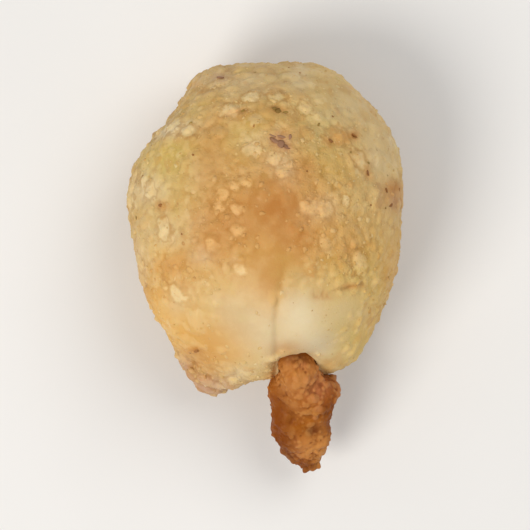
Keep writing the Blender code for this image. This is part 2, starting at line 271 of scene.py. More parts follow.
def skin_points(directions):
    """Where rays from the middle of the dough meet its skin."""
    middle = np.array([0.0, 0.0, GIRTH_HEIGHT])
    rise = np.where(directions[:, 2] > 0.0, BODY_HEIGHT - GIRTH_HEIGHT, GIRTH_HEIGHT + FLATTENED_BY)
    across, along, up = np.abs(directions).T / np.stack([
        np.full_like(rise, BODY_WIDTH / 2.0),
        np.full_like(rise, BODY_LENGTH / 2.0),
        rise,
    ])
    level = (across**PLAN_ROUNDNESS + along**PLAN_ROUNDNESS) ** (1.0 / PLAN_ROUNDNESS)
    reach = (level**SIDE_ROUNDNESS + up**SIDE_ROUNDNESS) ** (-1.0 / SIDE_ROUNDNESS)
    plain = middle + directions * reach[:, None]
    for centre, height, spread in SWELLINGS:
        reach = reach + height * MM * bell(plain, centre, spread)
    reach = reach + seam_relief(plain)
    reach = reach + UNEVEN_BY * unevenness(plain, UNEVEN_EVERY)
    points = middle + directions * reach[:, None]
    height = points[:, 2]
    settled = np.where(height < -BASE_FILLET, 0.0, (height + BASE_FILLET) ** 2 / (4.0 * BASE_FILLET))
    points[:, 2] = np.where(height < BASE_FILLET, settled, height)
    return points


def skin_seen_from_above(x, y):
    """The ray from the middle, and its point on the skin, that lie at x and y in a view from above."""
    wanted = math.hypot(x, y)
    low, high = 0.0, math.pi / 2.0
    for _ in range(SEARCH_STEPS):
        tilt = (low + high) / 2.0
        flat = math.cos(tilt) / max(wanted, SMALLEST)
        direction = np.array([[x * flat, y * flat, math.sin(tilt)]])
        point = skin_points(direction)[0]
        if math.hypot(point[0], point[1]) > wanted:
            low = tilt
        else:
            high = tilt
    return direction[0], point


print("crown of the dough in mm:", (skin_seen_from_above(0.0, 0.0)[1] / MM).round(1))

# %% [markdown]
# ## The filling
#
# Melted cheese fills the middle of the bite, squeezes through the mouth and runs down over
# the end wall. It is a sack drawn out along a curved line: stations say where its middle
# runs and how wide and thick it is there, and a smooth curve joins them. Lumps and blisters
# come on top.

# %% The filling's line
# Each station: x, y and height of its middle, half its width and half its thickness, in millimetres.
FILLING_STATIONS = (
    (-1.0, 12.5, 14.5, 7.5, 5.6),
    (0.0, 4.0, 14.6, 9.6, 6.8),
    (1.6, -5.0, 15.0, 9.0, 6.6),
    (3.2, -14.0, 15.8, 5.6, 4.8),
    (4.3, -20.4, 16.0, 3.2, 4.6),
    (5.4, -25.0, 14.4, 4.8, 4.0),
    (5.2, -30.8, 10.7, 4.0, 3.0),
    (5.4, -34.0, 8.3, 2.5, 2.2),
    (6.3, -36.0, 6.6, 0.8, 1.1),
)


def along_filling(share):
    """The filling's stations, smoothly joined, read at shares of its length."""
    stations = np.array(FILLING_STATIONS) * MM
    place = share * (len(stations) - 1)
    index = np.clip(np.floor(place).astype(int), 0, len(stations) - 2)
    step = (place - index)[:, None]
    first, last = stations[index], stations[index + 1]
    before = stations[np.maximum(index - 1, 0)]
    after = stations[np.minimum(index + 2, len(stations) - 1)]
    bend = 2.0 * before - 5.0 * first + 4.0 * last - after
    twist = 3.0 * (first - last) + after - before
    return first + 0.5 * step * (last - before + step * (bend + step * twist))


print("tip of the tongue in mm:", (along_filling(np.array([1.0]))[0, :3] / MM).round(1))

# %% The filling's skin
FAR_END_ROUNDING = 0.16  # share of the filling's length that its rounded inner end takes up
TIP_ROUNDING = 0.06  # the same for the tip of the tongue
LOOK_AHEAD = 0.01  # share of its length to each side of a point that shows which way it runs there
EVEN_RINGS = 0.4  # 1 spaces the rings evenly, and less crowds them towards the ends
FILLING_LUMPS = 0.55 * MM
FILLING_LUMP_SIZE = 3.6 * MM

# Blisters and slumps of the tongue: where, how high, and how far they reach, in millimetres.
BLISTERS = (
    ((9.4, -24.6, 15.6), 0.3, 1.9),  # shoulder that ran out to the right
    ((1.0, -25.8, 14.2), 0.2, 1.9),  # shoulder that ran out to the left
    ((4.8, -22.6, 19.4), 0.4, 1.3),
    ((8.2, -31.4, 12.5), 0.6, 1.5),
    ((3.0, -29.6, 13.5), 0.5, 1.4),
    ((6.6, -35.4, 9.5), 0.5, 1.2),
)


def filling_points(directions, ring_evenness=EVEN_RINGS):
    """A unit sphere's points, its poles on Z, drawn out along the filling's stations."""
    turn = np.arccos(np.clip(-directions[:, 2], -1.0, 1.0)) / math.pi
    share = ring_evenness * turn + (1.0 - ring_evenness) * (1.0 - np.cos(math.pi * turn)) / 2.0
    around = np.arctan2(directions[:, 1], directions[:, 0])
    further = along_filling(np.minimum(share + LOOK_AHEAD, 1.0))
    ahead = further - along_filling(np.maximum(share - LOOK_AHEAD, 0.0))
    up = unit(np.stack([np.zeros_like(share), ahead[:, 2], -ahead[:, 1]], axis=1))
    stations = along_filling(share)
    nearest_end = np.minimum(share / FAR_END_ROUNDING, (1.0 - share) / TIP_ROUNDING)
    closing = np.sqrt(1.0 - (1.0 - np.clip(nearest_end, 0.0, 1.0)) ** 2)
    section = np.stack([np.cos(around), np.zeros_like(share), np.zeros_like(share)], axis=1)
    spoke = section * stations[:, 3:4] + up * np.sin(around)[:, None] * stations[:, 4:5]
    points = stations[:, :3] + spoke * closing[:, None]
    rise = FILLING_LUMPS * unevenness(points, FILLING_LUMP_SIZE)
    for centre, height, spread in BLISTERS:
        rise = rise + height * MM * bell(points, centre, spread)
    return points + unit(spoke) * (rise * closing)[:, None]


def sphere_directions(sides, rings):
    """The points of a unit sphere with its poles on Z."""
    ball = bmesh.new()
    bmesh.ops.create_uvsphere(ball, u_segments=sides, v_segments=rings, radius=1.0)
    directions = np.array([corner.co for corner in ball.verts])
    ball.free()
    return directions


print("blisters of the tongue:", len(BLISTERS))

# %% [markdown]
# ## The coarse crumbs
#
# Grated hard cheese is a mix of chips, grains and dust. The coarsest chips stand out of the
# crust, and the solid has them too, so they are placed by the same rule here: some listed
# one by one where they catch the eye, and the rest by seeded draws. Each is a small ball of
# twenty faces with its corners pushed about.

# %% Coarse crumbs that are listed one by one
STANDING_CRUMBS = (  # x, y and size, in millimetres
    (-16.1, 13.6, 3.8), (-13.6, 13.9, 2.4), (-11.3, 13.1, 2.0), (-20.0, 3.4, 3.8),
    (-19.6, 5.6, 2.8), (-17.0, 4.4, 2.2), (-18.4, -6.0, 2.4), (-15.0, -1.2, 2.4),
    (-12.9, -10.6, 2.4), (6.1, 2.0, 2.4), (8.6, 1.5, 2.6), (11.5, 3.1, 1.6), (1.1, 9.2, 2.0),
    (2.6, 7.2, 2.4), (-2.0, 10.4, 2.6), (-4.2, 1.6, 2.0), (-7.0, 2.2, 1.8), (-6.4, 3.8, 1.7),
    (-4.8, 4.9, 1.6), (-3.0, 5.6, 1.6), (-8.0, -3.3, 1.8), (-4.2, -1.4, 1.6), (-4.0, -6.9, 1.7),
    (8.7, -3.2, 1.6), (13.4, -6.1, 2.8), (18.6, 12.2, 3.0), (13.2, 9.2, 2.4), (10.4, 12.3, 2.6),
    (-5.2, 16.2, 2.4), (-7.0, 20.2, 2.6), (-2.4, 18.1, 2.2), (1.6, 18.1, 2.0), (5.5, 16.6, 2.0),
    (-12.3, -20.9, 2.2), (-9.0, -23.7, 2.8), (-6.9, -24.4, 2.4), (-4.7, -23.4, 2.2),
)

# Crumbs on the torn skirt, below the height of the dough's middle: x, y, z and size, in millimetres.
SKIRT_CRUMBS = (
    (-13.6, -20.4, 10.5, 2.0), (-12.4, -21.8, 9.5, 2.2), (-11.0, -23.2, 9.0, 1.8),
    (-9.6, -24.4, 8.5, 2.4), (-8.0, -25.2, 8.5, 2.0), (-6.6, -25.0, 8.5, 2.2),
    (-5.4, -24.2, 10.0, 1.8), (-4.0, -23.8, 11.5, 2.0), (-2.6, -23.4, 12.5, 1.6),
)
print("coarse crumbs placed by hand:", len(STANDING_CRUMBS) + len(SKIRT_CRUMBS))

# %% Where the coarse crumbs lie
CRUMB_SEED = 11
SCATTERED_CRUMBS = 108
CRUMB_SIZES = (1.9 * MM, 3.2 * MM)
LOWEST_CRUMB = 5.0 * MM
LOWEST_DRAW = -0.45  # no ray drawn for a crumb falls more steeply than this
CRUMB_SINK = 0.17  # share of its size that a crumb's middle lies below the skin
CRUMB_SPACING = 0.8  # nearest that two scattered crumbs lie, as a share of their mean size
CLEAR_OF_LEAK = 1.0 * MM
LEAK_SAMPLES = (12, 40)  # sides and rings of the points that stand for the filling there

# Bald stretches of the crust: middle x and y, half width and half length, in millimetres.
BALD_STRETCHES = (
    (0.3, -2.5, 3.6, 7.5),  # browned crown
    (-3.6, -14.5, 5.2, 7.5),  # smooth flap left of the seam
    (6.0, -14.5, 5.0, 6.0),  # stretched dough right of the seam
)


def is_bald(point):
    """Whether a point on the skin lies where the crust has no coarse crumbs."""
    return point[2] < LOWEST_CRUMB or any(from_middle(point, *oval) < 1.0 for oval in BALD_STRETCHES)


def crumb_places():
    """Each crumb's ray from the middle, its point on the skin and its size, those listed first."""
    places = []
    for x, y, size in STANDING_CRUMBS:
        direction, point = skin_seen_from_above(x * MM, y * MM)
        places.append((direction, point, size * MM))
    for x, y, z, size in SKIRT_CRUMBS:
        direction = np.array(Vector((x * MM, y * MM, z * MM - GIRTH_HEIGHT)).normalized())
        places.append((direction, skin_points(direction[None, :])[0], size * MM))
    placed_by_hand = len(places)
    draw = random.Random(CRUMB_SEED)
    leak = filling_points(sphere_directions(*LEAK_SAMPLES))
    smallest, largest = CRUMB_SIZES
    while len(places) < placed_by_hand + SCATTERED_CRUMBS:
        height = draw.uniform(LOWEST_DRAW, 1.0)
        angle = draw.uniform(0.0, 2.0 * math.pi)
        spread = math.sqrt(1.0 - height * height)
        direction = np.array([spread * math.cos(angle), spread * math.sin(angle), height])
        share_done = (len(places) - placed_by_hand) / SCATTERED_CRUMBS
        size = largest + (smallest - largest) * share_done
        point = skin_points(direction[None, :])[0]
        clear_of_leak = np.linalg.norm(leak - point, axis=1).min() > CLEAR_OF_LEAK + size / 2.0
        spaced = all(
            np.linalg.norm(point - other) > CRUMB_SPACING * (size + other_size) / 2.0
            for _, other, other_size in places
        )
        if clear_of_leak and spaced and not is_bald(point):
            places.append((direction, point, size))
    return places


laid_crumbs = crumb_places()
print("coarse crumbs with the scattered ones:", len(laid_crumbs))

# %% Shape of a coarse crumb
# What a crumb's draws range over: its corners and sides as shares of its size, its tilt in radians.
CORNER_RANGE = (0.82, 1.15)
LENGTH_RANGE = (1.0, 1.3)
WIDTH_RANGE = (0.8, 1.0)
HEIGHT_RANGE = (0.6, 0.85)
TILT_RANGE = (-0.4, 0.4)
CHIP_FINENESS = 1  # subdivisions of the ball, where 1 is twenty faces


def ball_shape(subdivisions):
    """Corners and triangles of a unit ball made of triangles."""
    ball = bmesh.new()
    bmesh.ops.create_icosphere(ball, subdivisions=subdivisions, radius=1.0)
    corners = np.array([corner.co for corner in ball.verts])
    triangles = np.array([[corner.index for corner in face.verts] for face in ball.faces])
    ball.free()
    return corners, triangles


def coarse_crumbs(places):
    """Corners of the coarse crumbs, crumb by crumb, with their middles, axes and half sides."""
    unit_corners, _ = ball_shape(CHIP_FINENESS)
    draw = random.Random(CRUMB_SEED)
    shapes, middles, axes, halves = [], [], [], []
    for direction, point, size in places:
        corners = [Vector(corner) * (size / 2.0) * draw.uniform(*CORNER_RANGE) for corner in unit_corners]
        sides = [draw.uniform(*side_range) for side_range in (LENGTH_RANGE, WIDTH_RANGE, HEIGHT_RANGE)]
        stretch = Matrix.Diagonal(sides)
        spin = Matrix.Rotation(draw.uniform(0.0, 2.0 * math.pi), 3, "Z")
        tilt = Matrix.Rotation(draw.uniform(*TILT_RANGE), 3, "X")
        lie = Vector(direction).to_track_quat("Z", "Y").to_matrix()
        middle = Vector(point) - Vector(direction) * size * CRUMB_SINK
        shapes.append([lie @ (tilt @ (spin @ (stretch @ corner))) + middle for corner in corners])
        middles.append(middle)
        axes.append(np.array(lie @ tilt @ spin).T)
        halves.append(np.array(sides) * size / 2.0)
    return np.array(shapes), np.array(middles), np.array(axes), np.array(halves)


# The frames of crumbs: their middles, axes and half sides.
coarse_shapes, *coarse_frames = coarse_crumbs(laid_crumbs)
print("corners of a coarse crumb:", coarse_shapes.shape[1])

# %% [markdown]
# ## The melted-in grains
#
# Between the chips lie grains of up to four millimetres, which melted into the butter and
# the dough. A grain is a ball with a few flat breaks and lumps, stretched and laid flat on
# the skin. A handful of shapes, turned and stretched at random, is enough for thousands of
# grains, and arrays place them all at once, which is far quicker than one object each.
#
# Where grains lie follows the real crust: thick on the far half and the sides, thin on the
# right lobe, and almost none on the crown, the smooth flap and the stretched white dough.

# %% How thickly the crust is coated at a point
COATED_FROM = 1.5  # height in millimetres at which the coat starts
COATED_AT = 7.0  # height at which it is as thick as it gets
TOP_SPAN = (8.0, 14.0)  # heights in millimetres between which the sides turn into the top
EVEN_COAT = 0.78  # share of the coat that is even, while the rest comes and goes in patches
PATCHY_COAT = 0.22
PATCH_SIZE = 5.0 * MM
THIN_FADE = (0.55, 1.45)  # a thin stretch fades out between these, in its half widths from its middle

# Thinly coated stretches: middle x and y, half width and half length in mm, and what is left.
THIN_STRETCHES = (
    (0.6, -2.5, 4.4, 8.5, 0.1),  # browned crown
    (-3.4, -14.5, 6.2, 8.0, 0.04),  # smooth flap left of the seam
    (5.8, -14.2, 5.0, 6.6, 0.02),  # stretched dough right of the seam
    (11.5, -15.5, 4.5, 6.0, 0.35),  # right lobe
    (-12.0, -13.0, 3.5, 5.0, 0.45),  # golden edge
)


def coat(points):
    """How thickly grated cheese lies at points on the skin, between 0 and 1."""
    z = points[:, 2] / MM
    thick = smooth_step(z, COATED_FROM, COATED_AT)
    thick = thick * (EVEN_COAT + PATCHY_COAT * unevenness(points, PATCH_SIZE))
    for *oval, left in THIN_STRETCHES:
        inside = (1.0 - smooth_step(from_middle(points, *oval), *THIN_FADE)) * smooth_step(z, *TOP_SPAN)
        thick = thick * (1.0 - inside * (1.0 - left))
    return np.clip(thick, 0.0, 1.0)


print("coat on the crown:", coat(skin_seen_from_above(0.0, 0.0)[1][None, :]).round(2))

# %% Thin out a crowd of points
def keep_apart(points, reaches):
    """Indices of points, first come first kept, that lie further apart than their reaches together."""
    widest = 2.0 * reaches.max()
    cells, kept = {}, []
    near = [(a, b, c) for a in (-1, 0, 1) for b in (-1, 0, 1) for c in (-1, 0, 1)]
    for index, (point, reach) in enumerate(zip(points.tolist(), reaches.tolist())):
        cell = tuple(int(math.floor(value / widest)) for value in point)
        neighbours = [cells.get((cell[0] + a, cell[1] + b, cell[2] + c), ()) for a, b, c in near]
        around = [other for held in neighbours for other in held]
        if all(math.dist(point, points[other]) > reach + reaches[other] for other in around):
            cells.setdefault(cell, []).append(index)
            kept.append(index)
    return np.array(kept)


print("kept of three points on a line:", keep_apart(np.arange(9.0).reshape(3, 3), np.full(3, 3.0)))

# %% Lay many grains at once
GRAIN_VARIETY = 14  # different broken shapes among the grains
GRAIN_BREAKS = 7  # flat breaks that cut into a shape
BREAK_RANGE = (0.55, 0.95)  # how far from a shape's middle a break lies, as a share of its radius
BREAK_GRAZE = 0.1  # the least by which a corner counts as facing a break
GRAIN_LUMPS = 0.2  # how far a shape's lumps rise, as a share of its radius
GRAIN_LUMPS_EVERY = 0.9  # how far apart those lumps lie, in radii
NOISE_ROOM = 50.0  # how far into the noise a shape's lumps may be read, in radii
GRAIN_LENGTHS = (1.0, 1.45)  # a laid grain's sides, as shares of its size
GRAIN_WIDTHS = (0.75, 1.0)
GRAIN_THICKNESSES = (0.55, 0.85)
GRAIN_TILT = 0.35


def grain_shapes(subdivisions, draws):
    """A few balls of radius 1 with flat breaks and lumps, and the triangles that they share."""
    corners, triangles = ball_shape(subdivisions)
    shapes = []
    for _ in range(GRAIN_VARIETY):
        facing = unit(draws.normal(size=(GRAIN_BREAKS, 3)))
        depth = draws.uniform(*BREAK_RANGE, GRAIN_BREAKS)
        reach = np.min(depth / np.maximum(corners @ facing.T, BREAK_GRAZE), axis=1)
        shifted = corners + draws.uniform(-NOISE_ROOM, NOISE_ROOM, 3)
        lumps = 1.0 + GRAIN_LUMPS * unevenness(shifted, GRAIN_LUMPS_EVERY)
        shapes.append(corners * (np.minimum(reach, 1.0) * lumps)[:, None])
    return np.array(shapes), triangles


def lay_grains(shapes, points, normals, sizes, draws, sink, tilt_by=GRAIN_TILT, flat=GRAIN_THICKNESSES):
    """A grain at each point, turned at random and sunk: corners, middles, axes and half sides."""
    count = len(points)
    up = unit(normals + tilt_by * draws.normal(size=(count, 3)))
    side = unit(np.cross(up, draws.normal(size=(count, 3))))
    axes = np.stack([side, np.cross(up, side), up], axis=1)
    sides = np.stack([draws.uniform(*span, count) for span in (GRAIN_LENGTHS, GRAIN_WIDTHS, flat)], axis=1)
    halves = sides * sizes[:, None] / 2.0
    chosen = shapes[draws.integers(0, len(shapes), count)] * halves[:, None, :]
    middles = points - normals * (sizes * sink)[:, None]
    return np.einsum("nci,nij->ncj", chosen, axes) + middles[:, None, :], middles, axes, halves


def joined_triangles(triangles, shapes):
    """The triangles of many copies of a shape, whose corners follow each other."""
    return (triangles[None] + np.arange(len(shapes))[:, None, None] * shapes.shape[1]).reshape(-1, 3)


print("faces of a grain, coarse and fine:", [len(ball_shape(level)[1]) for level in (1, 2)])

# %% [markdown]
# ### Arrays and meshes
#
# A mesh is made from an array of corners and one of triangles, and read back as arrays. What
# a material has to know about a spot is stored as a number a corner.

# %% Arrays into meshes, and back
def new_piece(name, corners, triangles):
    """A smooth-shaded mesh object in the scene, from arrays of corners and triangles."""
    mesh = bpy.data.meshes.new(name)
    mesh.from_pydata(corners.reshape(-1, 3).tolist(), [], triangles.tolist())
    mesh.shade_smooth()
    made = bpy.data.objects.new(name, mesh)
    bpy.context.scene.collection.objects.link(made)
    return made


def numbers_of(items, field, width=3, kind=np.float32):
    """One field of many mesh items at once, as rows of numbers."""
    flat = np.empty(len(items) * width, kind)
    items.foreach_get(field, flat)
    return flat.reshape(-1, width)


def corners_of(piece):
    """Where a piece's corners are."""
    return numbers_of(piece.data.vertices, "co").astype(float)


def normals_of(piece):
    """Which way a piece's surface faces at its corners."""
    return numbers_of(piece.data.vertex_normals, "vector").astype(float)


def move_corners(piece, corners):
    """Put a piece's corners in new places."""
    piece.data.vertices.foreach_set("co", corners.astype(np.float32).ravel())
    piece.data.update()


def store(piece, name, values):
    """Keep one number a corner on the mesh, where the piece's material can read it."""
    attribute = piece.data.attributes.new(name, "FLOAT", "POINT")
    attribute.data.foreach_set("value", np.asarray(values, np.float32))


def keep_modified(piece):
    """Keep the shape that the modifiers give, and drop the modifiers."""
    graph = bpy.context.evaluated_depsgraph_get()
    shaped = bpy.data.meshes.new_from_object(piece.evaluated_get(graph))
    piece.modifiers.clear()
    piece.data = shaped


def count_triangles(piece):
    """How many triangles a piece has once its faces are split up."""
    piece.data.calc_loop_triangles()
    return len(piece.data.loop_triangles)


# %% Search trees, rays and facings
FACING_STEP = 0.03  # how far apart the rays are that tell which way the skin faces
STEEP = 0.9  # a ray that rises or falls more steeply than this is crossed with another axis


def tree_of(points):
    """A search tree that finds the nearest of many points quickly."""
    tree = kdtree.KDTree(len(points))
    for index, point in enumerate(points):
        tree.insert(point, index)
    tree.balance()
    return tree


def distances(tree, points):
    """How far each point lies from the nearest point in the tree."""
    return np.array([tree.find(point)[2] for point in points])


def random_directions(count, draws, lowest=-1.0):
    """Rays spread evenly over the ball, none falling more steeply than lowest."""
    height = draws.uniform(lowest, 1.0, count)
    angle = draws.uniform(0.0, 2.0 * math.pi, count)
    level = np.sqrt(1.0 - height**2)
    return np.stack([level * np.cos(angle), level * np.sin(angle), height], axis=1)


def skin_facings(rays):
    """Which way the skin faces where rays meet it, from two points close beside each."""
    level = unit(np.cross(rays, np.where(np.abs(rays[:, 2:]) < STEEP, (0.0, 0.0, 1.0), (1.0, 0.0, 0.0))))
    places = skin_points(rays)
    beside = skin_points(unit(rays + FACING_STEP * level)) - places
    above = skin_points(unit(rays + FACING_STEP * np.cross(rays, level))) - places
    return unit(np.cross(beside, above))


print("the crown faces:", skin_facings(np.array([(0.0, 0.0, 1.0)]))[0].round(2))

# %% Melt and drape grains
MELTED_FINENESS = 2  # how often a melted grain's ball is subdivided
MELTED_LOWEST = -0.75  # no ray drawn for one falls more steeply than this
MELTED_MOSTLY_SMALL = 1.5  # 1 draws all sizes equally often, and more draws more small ones
MELTED_CONTRAST = 1.4  # more makes them rarer still where the coat is thin
MELTED_SINK = 0.09  # share of its size that a melted grain's middle lies below the skin
MELTED_APART = 0.36  # share of its size within which a grain keeps others of its kind away
MELTED_CLEAR_OF_LEAK = 0.4 * MM
MELTED_TILT = 0.15
MELTED_TALLEST = 0.42 * MM  # height over the skin that even a large melted grain keeps under
MELTED_LEVELLING = 4  # more levels tall grains more sharply
LEAK_NET = (60, 120)  # the same as LEAK_SAMPLES, and finer

leak_tree = tree_of(filling_points(sphere_directions(*LEAK_NET)))


def draped(corners, places, facings):
    """Grains that lie on the curve of the skin, with what stood too tall melted down."""
    height = np.einsum("nci,ni->nc", corners - places[:, None, :], facings)
    standing = np.maximum(height, 0.0) / MELTED_TALLEST
    height /= (1.0 + standing**MELTED_LEVELLING) ** (1.0 / MELTED_LEVELLING)
    rays = unit((corners - (0.0, 0.0, GIRTH_HEIGHT)).reshape(-1, 3))
    under = skin_points(rays).reshape(corners.shape)
    return under + facings[:, None, :] * height[:, :, None]


def melted_grains(draws, tries, smallest, largest, flat):
    """Grains of one kind, half sunk in the skin: corners, middles, axes and half sides."""
    rays = random_directions(tries, draws, MELTED_LOWEST)
    places = skin_points(rays)
    sizes = smallest + (largest - smallest) * draws.uniform(size=tries) ** MELTED_MOSTLY_SMALL
    wanted = draws.uniform(size=tries) < coat(places) ** MELTED_CONTRAST
    wanted &= distances(leak_tree, places) > MELTED_CLEAR_OF_LEAK + sizes / 2.0
    rays, places, sizes = rays[wanted], places[wanted], sizes[wanted]
    kept = keep_apart(places, sizes * MELTED_APART)
    places, sizes, facing = places[kept], sizes[kept], skin_facings(rays[kept])
    shapes, triangles = grain_shapes(MELTED_FINENESS, draws)
    laid, *frames = lay_grains(shapes, places, facing, sizes, draws, MELTED_SINK, MELTED_TILT, flat)
    return (draped(laid, places, facing), *frames), triangles


# %% Draw the melted-in grains
MELTED_SEED = 5
# Kinds of melted grain: rays tried, smallest and largest size, and thickness as a share of size.
MELTED_KINDS = (
    (2600, 2.2 * MM, 4.0 * MM, (0.28, 0.46)),  # flakes that ran flat
    (3600, 1.2 * MM, 2.3 * MM, (0.42, 0.7)),  # grains that slumped
    (5200, 0.7 * MM, 1.2 * MM, (0.55, 0.9)),  # grains that only softened
)
draws = np.random.default_rng(MELTED_SEED)
melted = []
for tries, smallest, largest, flat in MELTED_KINDS:
    laid, grain_triangles = melted_grains(draws, tries, smallest, largest, flat)
    melted.append(laid)
    print("melted-in grains:", len(laid[0]))
melted_shapes, *melted_frames = (np.concatenate(part) for part in zip(*melted))

# %% [markdown]
# ## One crust
#
# The ball of dough, the chips and the melted grains are separate closed meshes that cross
# each other. Baking made them one crust, and so does a voxel remesh: it samples the space in
# small cubes and wraps one skin round all of it, with the sharp joints softened as melted
# cheese softens them. The skin it makes is even, with as many faces on plain dough as on a
# crumb, so a decimation follows that keeps them where there is relief.

# %% Join dough and crumbs into one crust
DOUGH_FINENESS = 8  # how often the ball of dough is subdivided
VOXEL = 0.22 * MM
MELTING_ROUNDS = 3
MELTING_STEP = 0.5  # how far each round moves a corner towards the middle of its neighbours
CRUST_TRIANGLES = 184_000


def make_crust():
    """The dough with its chips and melted grains, as one closed mesh."""
    ball_corners, ball_triangles = ball_shape(DOUGH_FINENESS)
    _, chip_triangles = ball_shape(CHIP_FINENESS)
    parts = [
        (skin_points(ball_corners), ball_triangles),
        (coarse_shapes.reshape(-1, 3), joined_triangles(chip_triangles, coarse_shapes)),
        (melted_shapes.reshape(-1, 3), joined_triangles(grain_triangles, melted_shapes)),
    ]
    corners = np.concatenate([part_corners for part_corners, _ in parts])
    starts = np.cumsum([0] + [len(part_corners) for part_corners, _ in parts[:-1]])
    triangles = np.concatenate([part_triangles + start for (_, part_triangles), start in zip(parts, starts)])
    crust = new_piece("cheese_crust", corners, triangles)
    fuse = crust.modifiers.new("fuse", "REMESH")
    fuse.mode = "VOXEL"
    fuse.voxel_size = VOXEL
    fuse.use_smooth_shade = True
    soften = crust.modifiers.new("soften", "SMOOTH")
    soften.factor = MELTING_STEP
    soften.iterations = MELTING_ROUNDS
    keep_modified(crust)
    fused_triangles = count_triangles(crust)
    thin_out = crust.modifiers.new("thin_out", "DECIMATE")
    thin_out.ratio = min(1.0, CRUST_TRIANGLES / fused_triangles)
    keep_modified(crust)
    print("crust:", fused_triangles, "triangles, thinned out to", count_triangles(crust))
    return crust


crust = make_crust()

# %% [markdown]
# ### The crease of the seam, and cracks
#
# A voxel skin hardly holds a line that is only a cube or two wide, so the faint crease where
# the two flaps meet is pressed in afterwards, by moving the corners near it inwards. The
# short cracks, where the crust split as the dough rose, are pressed in with it. Each follows
# a straight line, and a little noise makes it wander.

# %% How deep the cracks are
# Short cracks in the top: both ends, half width and depth, in millimetres.
CRACKS = (
    ((6.6, -11.1), (9.8, -10.2), 0.30, 0.22),
    ((9.8, -10.2), (13.8, -9.1), 0.34, 0.28),
    ((0.4, 16.3), (3.0, 15.9), 0.36, 0.25),
    ((-5.0, 15.6), (-2.2, 16.2), 0.30, 0.18),
    ((-6.6, 7.0), (-3.0, 6.6), 0.26, 0.16),
)
CRACK_WANDERS_BY = 0.35 * MM
CRACK_WANDERS_EVERY = 1.6 * MM


def crack_depth(points):
    """How deep the cracks are at points on the top, each wandering a little about its line."""
    wander = CRACK_WANDERS_BY * unevenness(points, CRACK_WANDERS_EVERY)
    flat = points[:, :2] + wander[:, None]
    depth = np.zeros(len(points))
    for start, end, half_width, deepest in CRACKS:
        start, along = np.array(start) * MM, (np.array(end) - np.array(start)) * MM
        share = np.clip((flat - start) @ along / (along @ along), 0.0, 1.0)
        away = np.linalg.norm(flat - start - share[:, None] * along, axis=1) / (half_width * MM)
        depth = np.maximum(depth, deepest * MM * np.exp(-(away**2)))
    return depth * (points[:, 2] > GIRTH_HEIGHT)


print("cracks:", len(CRACKS))

# %% Press the crease and the cracks into the crust
CREASE_HALF_WIDTH = 0.25 * MM
CREASE_DEPTH = 0.03 * MM
CREASE_FACING = (0.0, 0.4)  # how far up the skin has to face for the crease to start, and to be full


def press_lines(crust):
    """Move the crust's corners inwards along the crease and the cracks."""
    corners, normals = corners_of(crust), normals_of(crust)
    aside, opened = beside_seam(corners)
    upward = smooth_step(normals[:, 2], *CREASE_FACING)
    crease = opened * upward * np.exp(-((aside / CREASE_HALF_WIDTH) ** 2))
    pressed = CREASE_DEPTH * crease + crack_depth(corners)
    corners -= normals * pressed[:, None]
    move_corners(crust, corners)
    print("pressed in by at most", round(float(pressed.max()) / MM, 2), "mm")


press_lines(crust)

# %% [markdown]
# ### Room for the filling
#
# The filling runs through the dough, so the dough is hollow along it and open at the mouth.
# A Boolean with the filling's own form, very slightly swollen, cuts both at once and leaves
# the lip of dough close round the leak.

# %% Hollow the crust
LIP_GAP = 0.08 * MM
ROOM_SIDES = 72
ROOM_RINGS = 96


def filling_form(name, sides, rings, ring_evenness=EVEN_RINGS, swollen_by=0.0):
    """The filling's form as a closed mesh object, moved out along its normals if that is wanted."""
    ball = bmesh.new()
    bmesh.ops.create_uvsphere(ball, u_segments=sides, v_segments=rings, radius=1.0)
    directions = np.array([corner.co for corner in ball.verts])
    for corner, point in zip(ball.verts, filling_points(directions, ring_evenness)):
        corner.co = point
    bmesh.ops.triangulate(ball, faces=ball.faces)
    bmesh.ops.recalc_face_normals(ball, faces=ball.faces)
    ball.normal_update()
    for corner in ball.verts:
        corner.co += corner.normal * swollen_by
    mesh = bpy.data.meshes.new(name)
    ball.to_mesh(mesh)
    ball.free()
    mesh.shade_smooth()
    made = bpy.data.objects.new(name, mesh)
    bpy.context.scene.collection.objects.link(made)
    return made


def hollow_out(crust):
    """Cut the room for the filling out of the crust, and give the corners of the room's wall."""
    room = filling_form("room", ROOM_SIDES, ROOM_RINGS, swollen_by=LIP_GAP)
    cut = crust.modifiers.new("hollow", "BOOLEAN")
    cut.operation = "DIFFERENCE"
    cut.solver = "MANIFOLD"
    cut.object = room
    keep_modified(crust)
    walls = corners_of(room)
    bpy.data.objects.remove(room, do_unlink=True)
    crust.data.shade_smooth()
    print("hollow crust:", count_triangles(crust), "triangles")
    return walls


wall_tree = tree_of(hollow_out(crust))

# %% [markdown]
# ## Where the oven coloured it
#
# Colour on baked food follows its form: the crown browns first, stretched dough stays white,
# and butter runs down and fries the edge at the tray. Each of these is a soft patch, given
# by its middle, its size and its strength. They are stored on the mesh as masks, one number
# a corner, and the material turns masks into colours. The same functions colour the crumbs,
# so a crumb on the brown crown is toasted too. A painted picture would be tied to one mesh,
# while a patch can be asked for at any point. A few patches are painted shade or painted
# light instead, and each of them says so where it is listed.

# %% Soft patches
PATCH_FALL = 0.7  # how fast a patch fades; about half its strength is left at its half width
PATCHES_FROM = 8.5  # height in millimetres from which a patch colours what is under it
PATCHES_AT = 14.0  # height from which it does so in full
SKIRT_LOWER_BY = 5.5  # how much lower the patches reach on the skirt
SKIRT_FROM_Y = -17.0  # y in millimetres at which they start to reach lower
SKIRT_FULL_Y = -21.0


def spots(points, places):
    """The strength of a set of patches at points, by where they lie in the view from above."""
    bare = np.ones(len(points))
    for *oval, strength in places:
        bare *= 1.0 - strength * np.exp(-PATCH_FALL * from_middle(points, *oval) ** 2)
    return 1.0 - bare


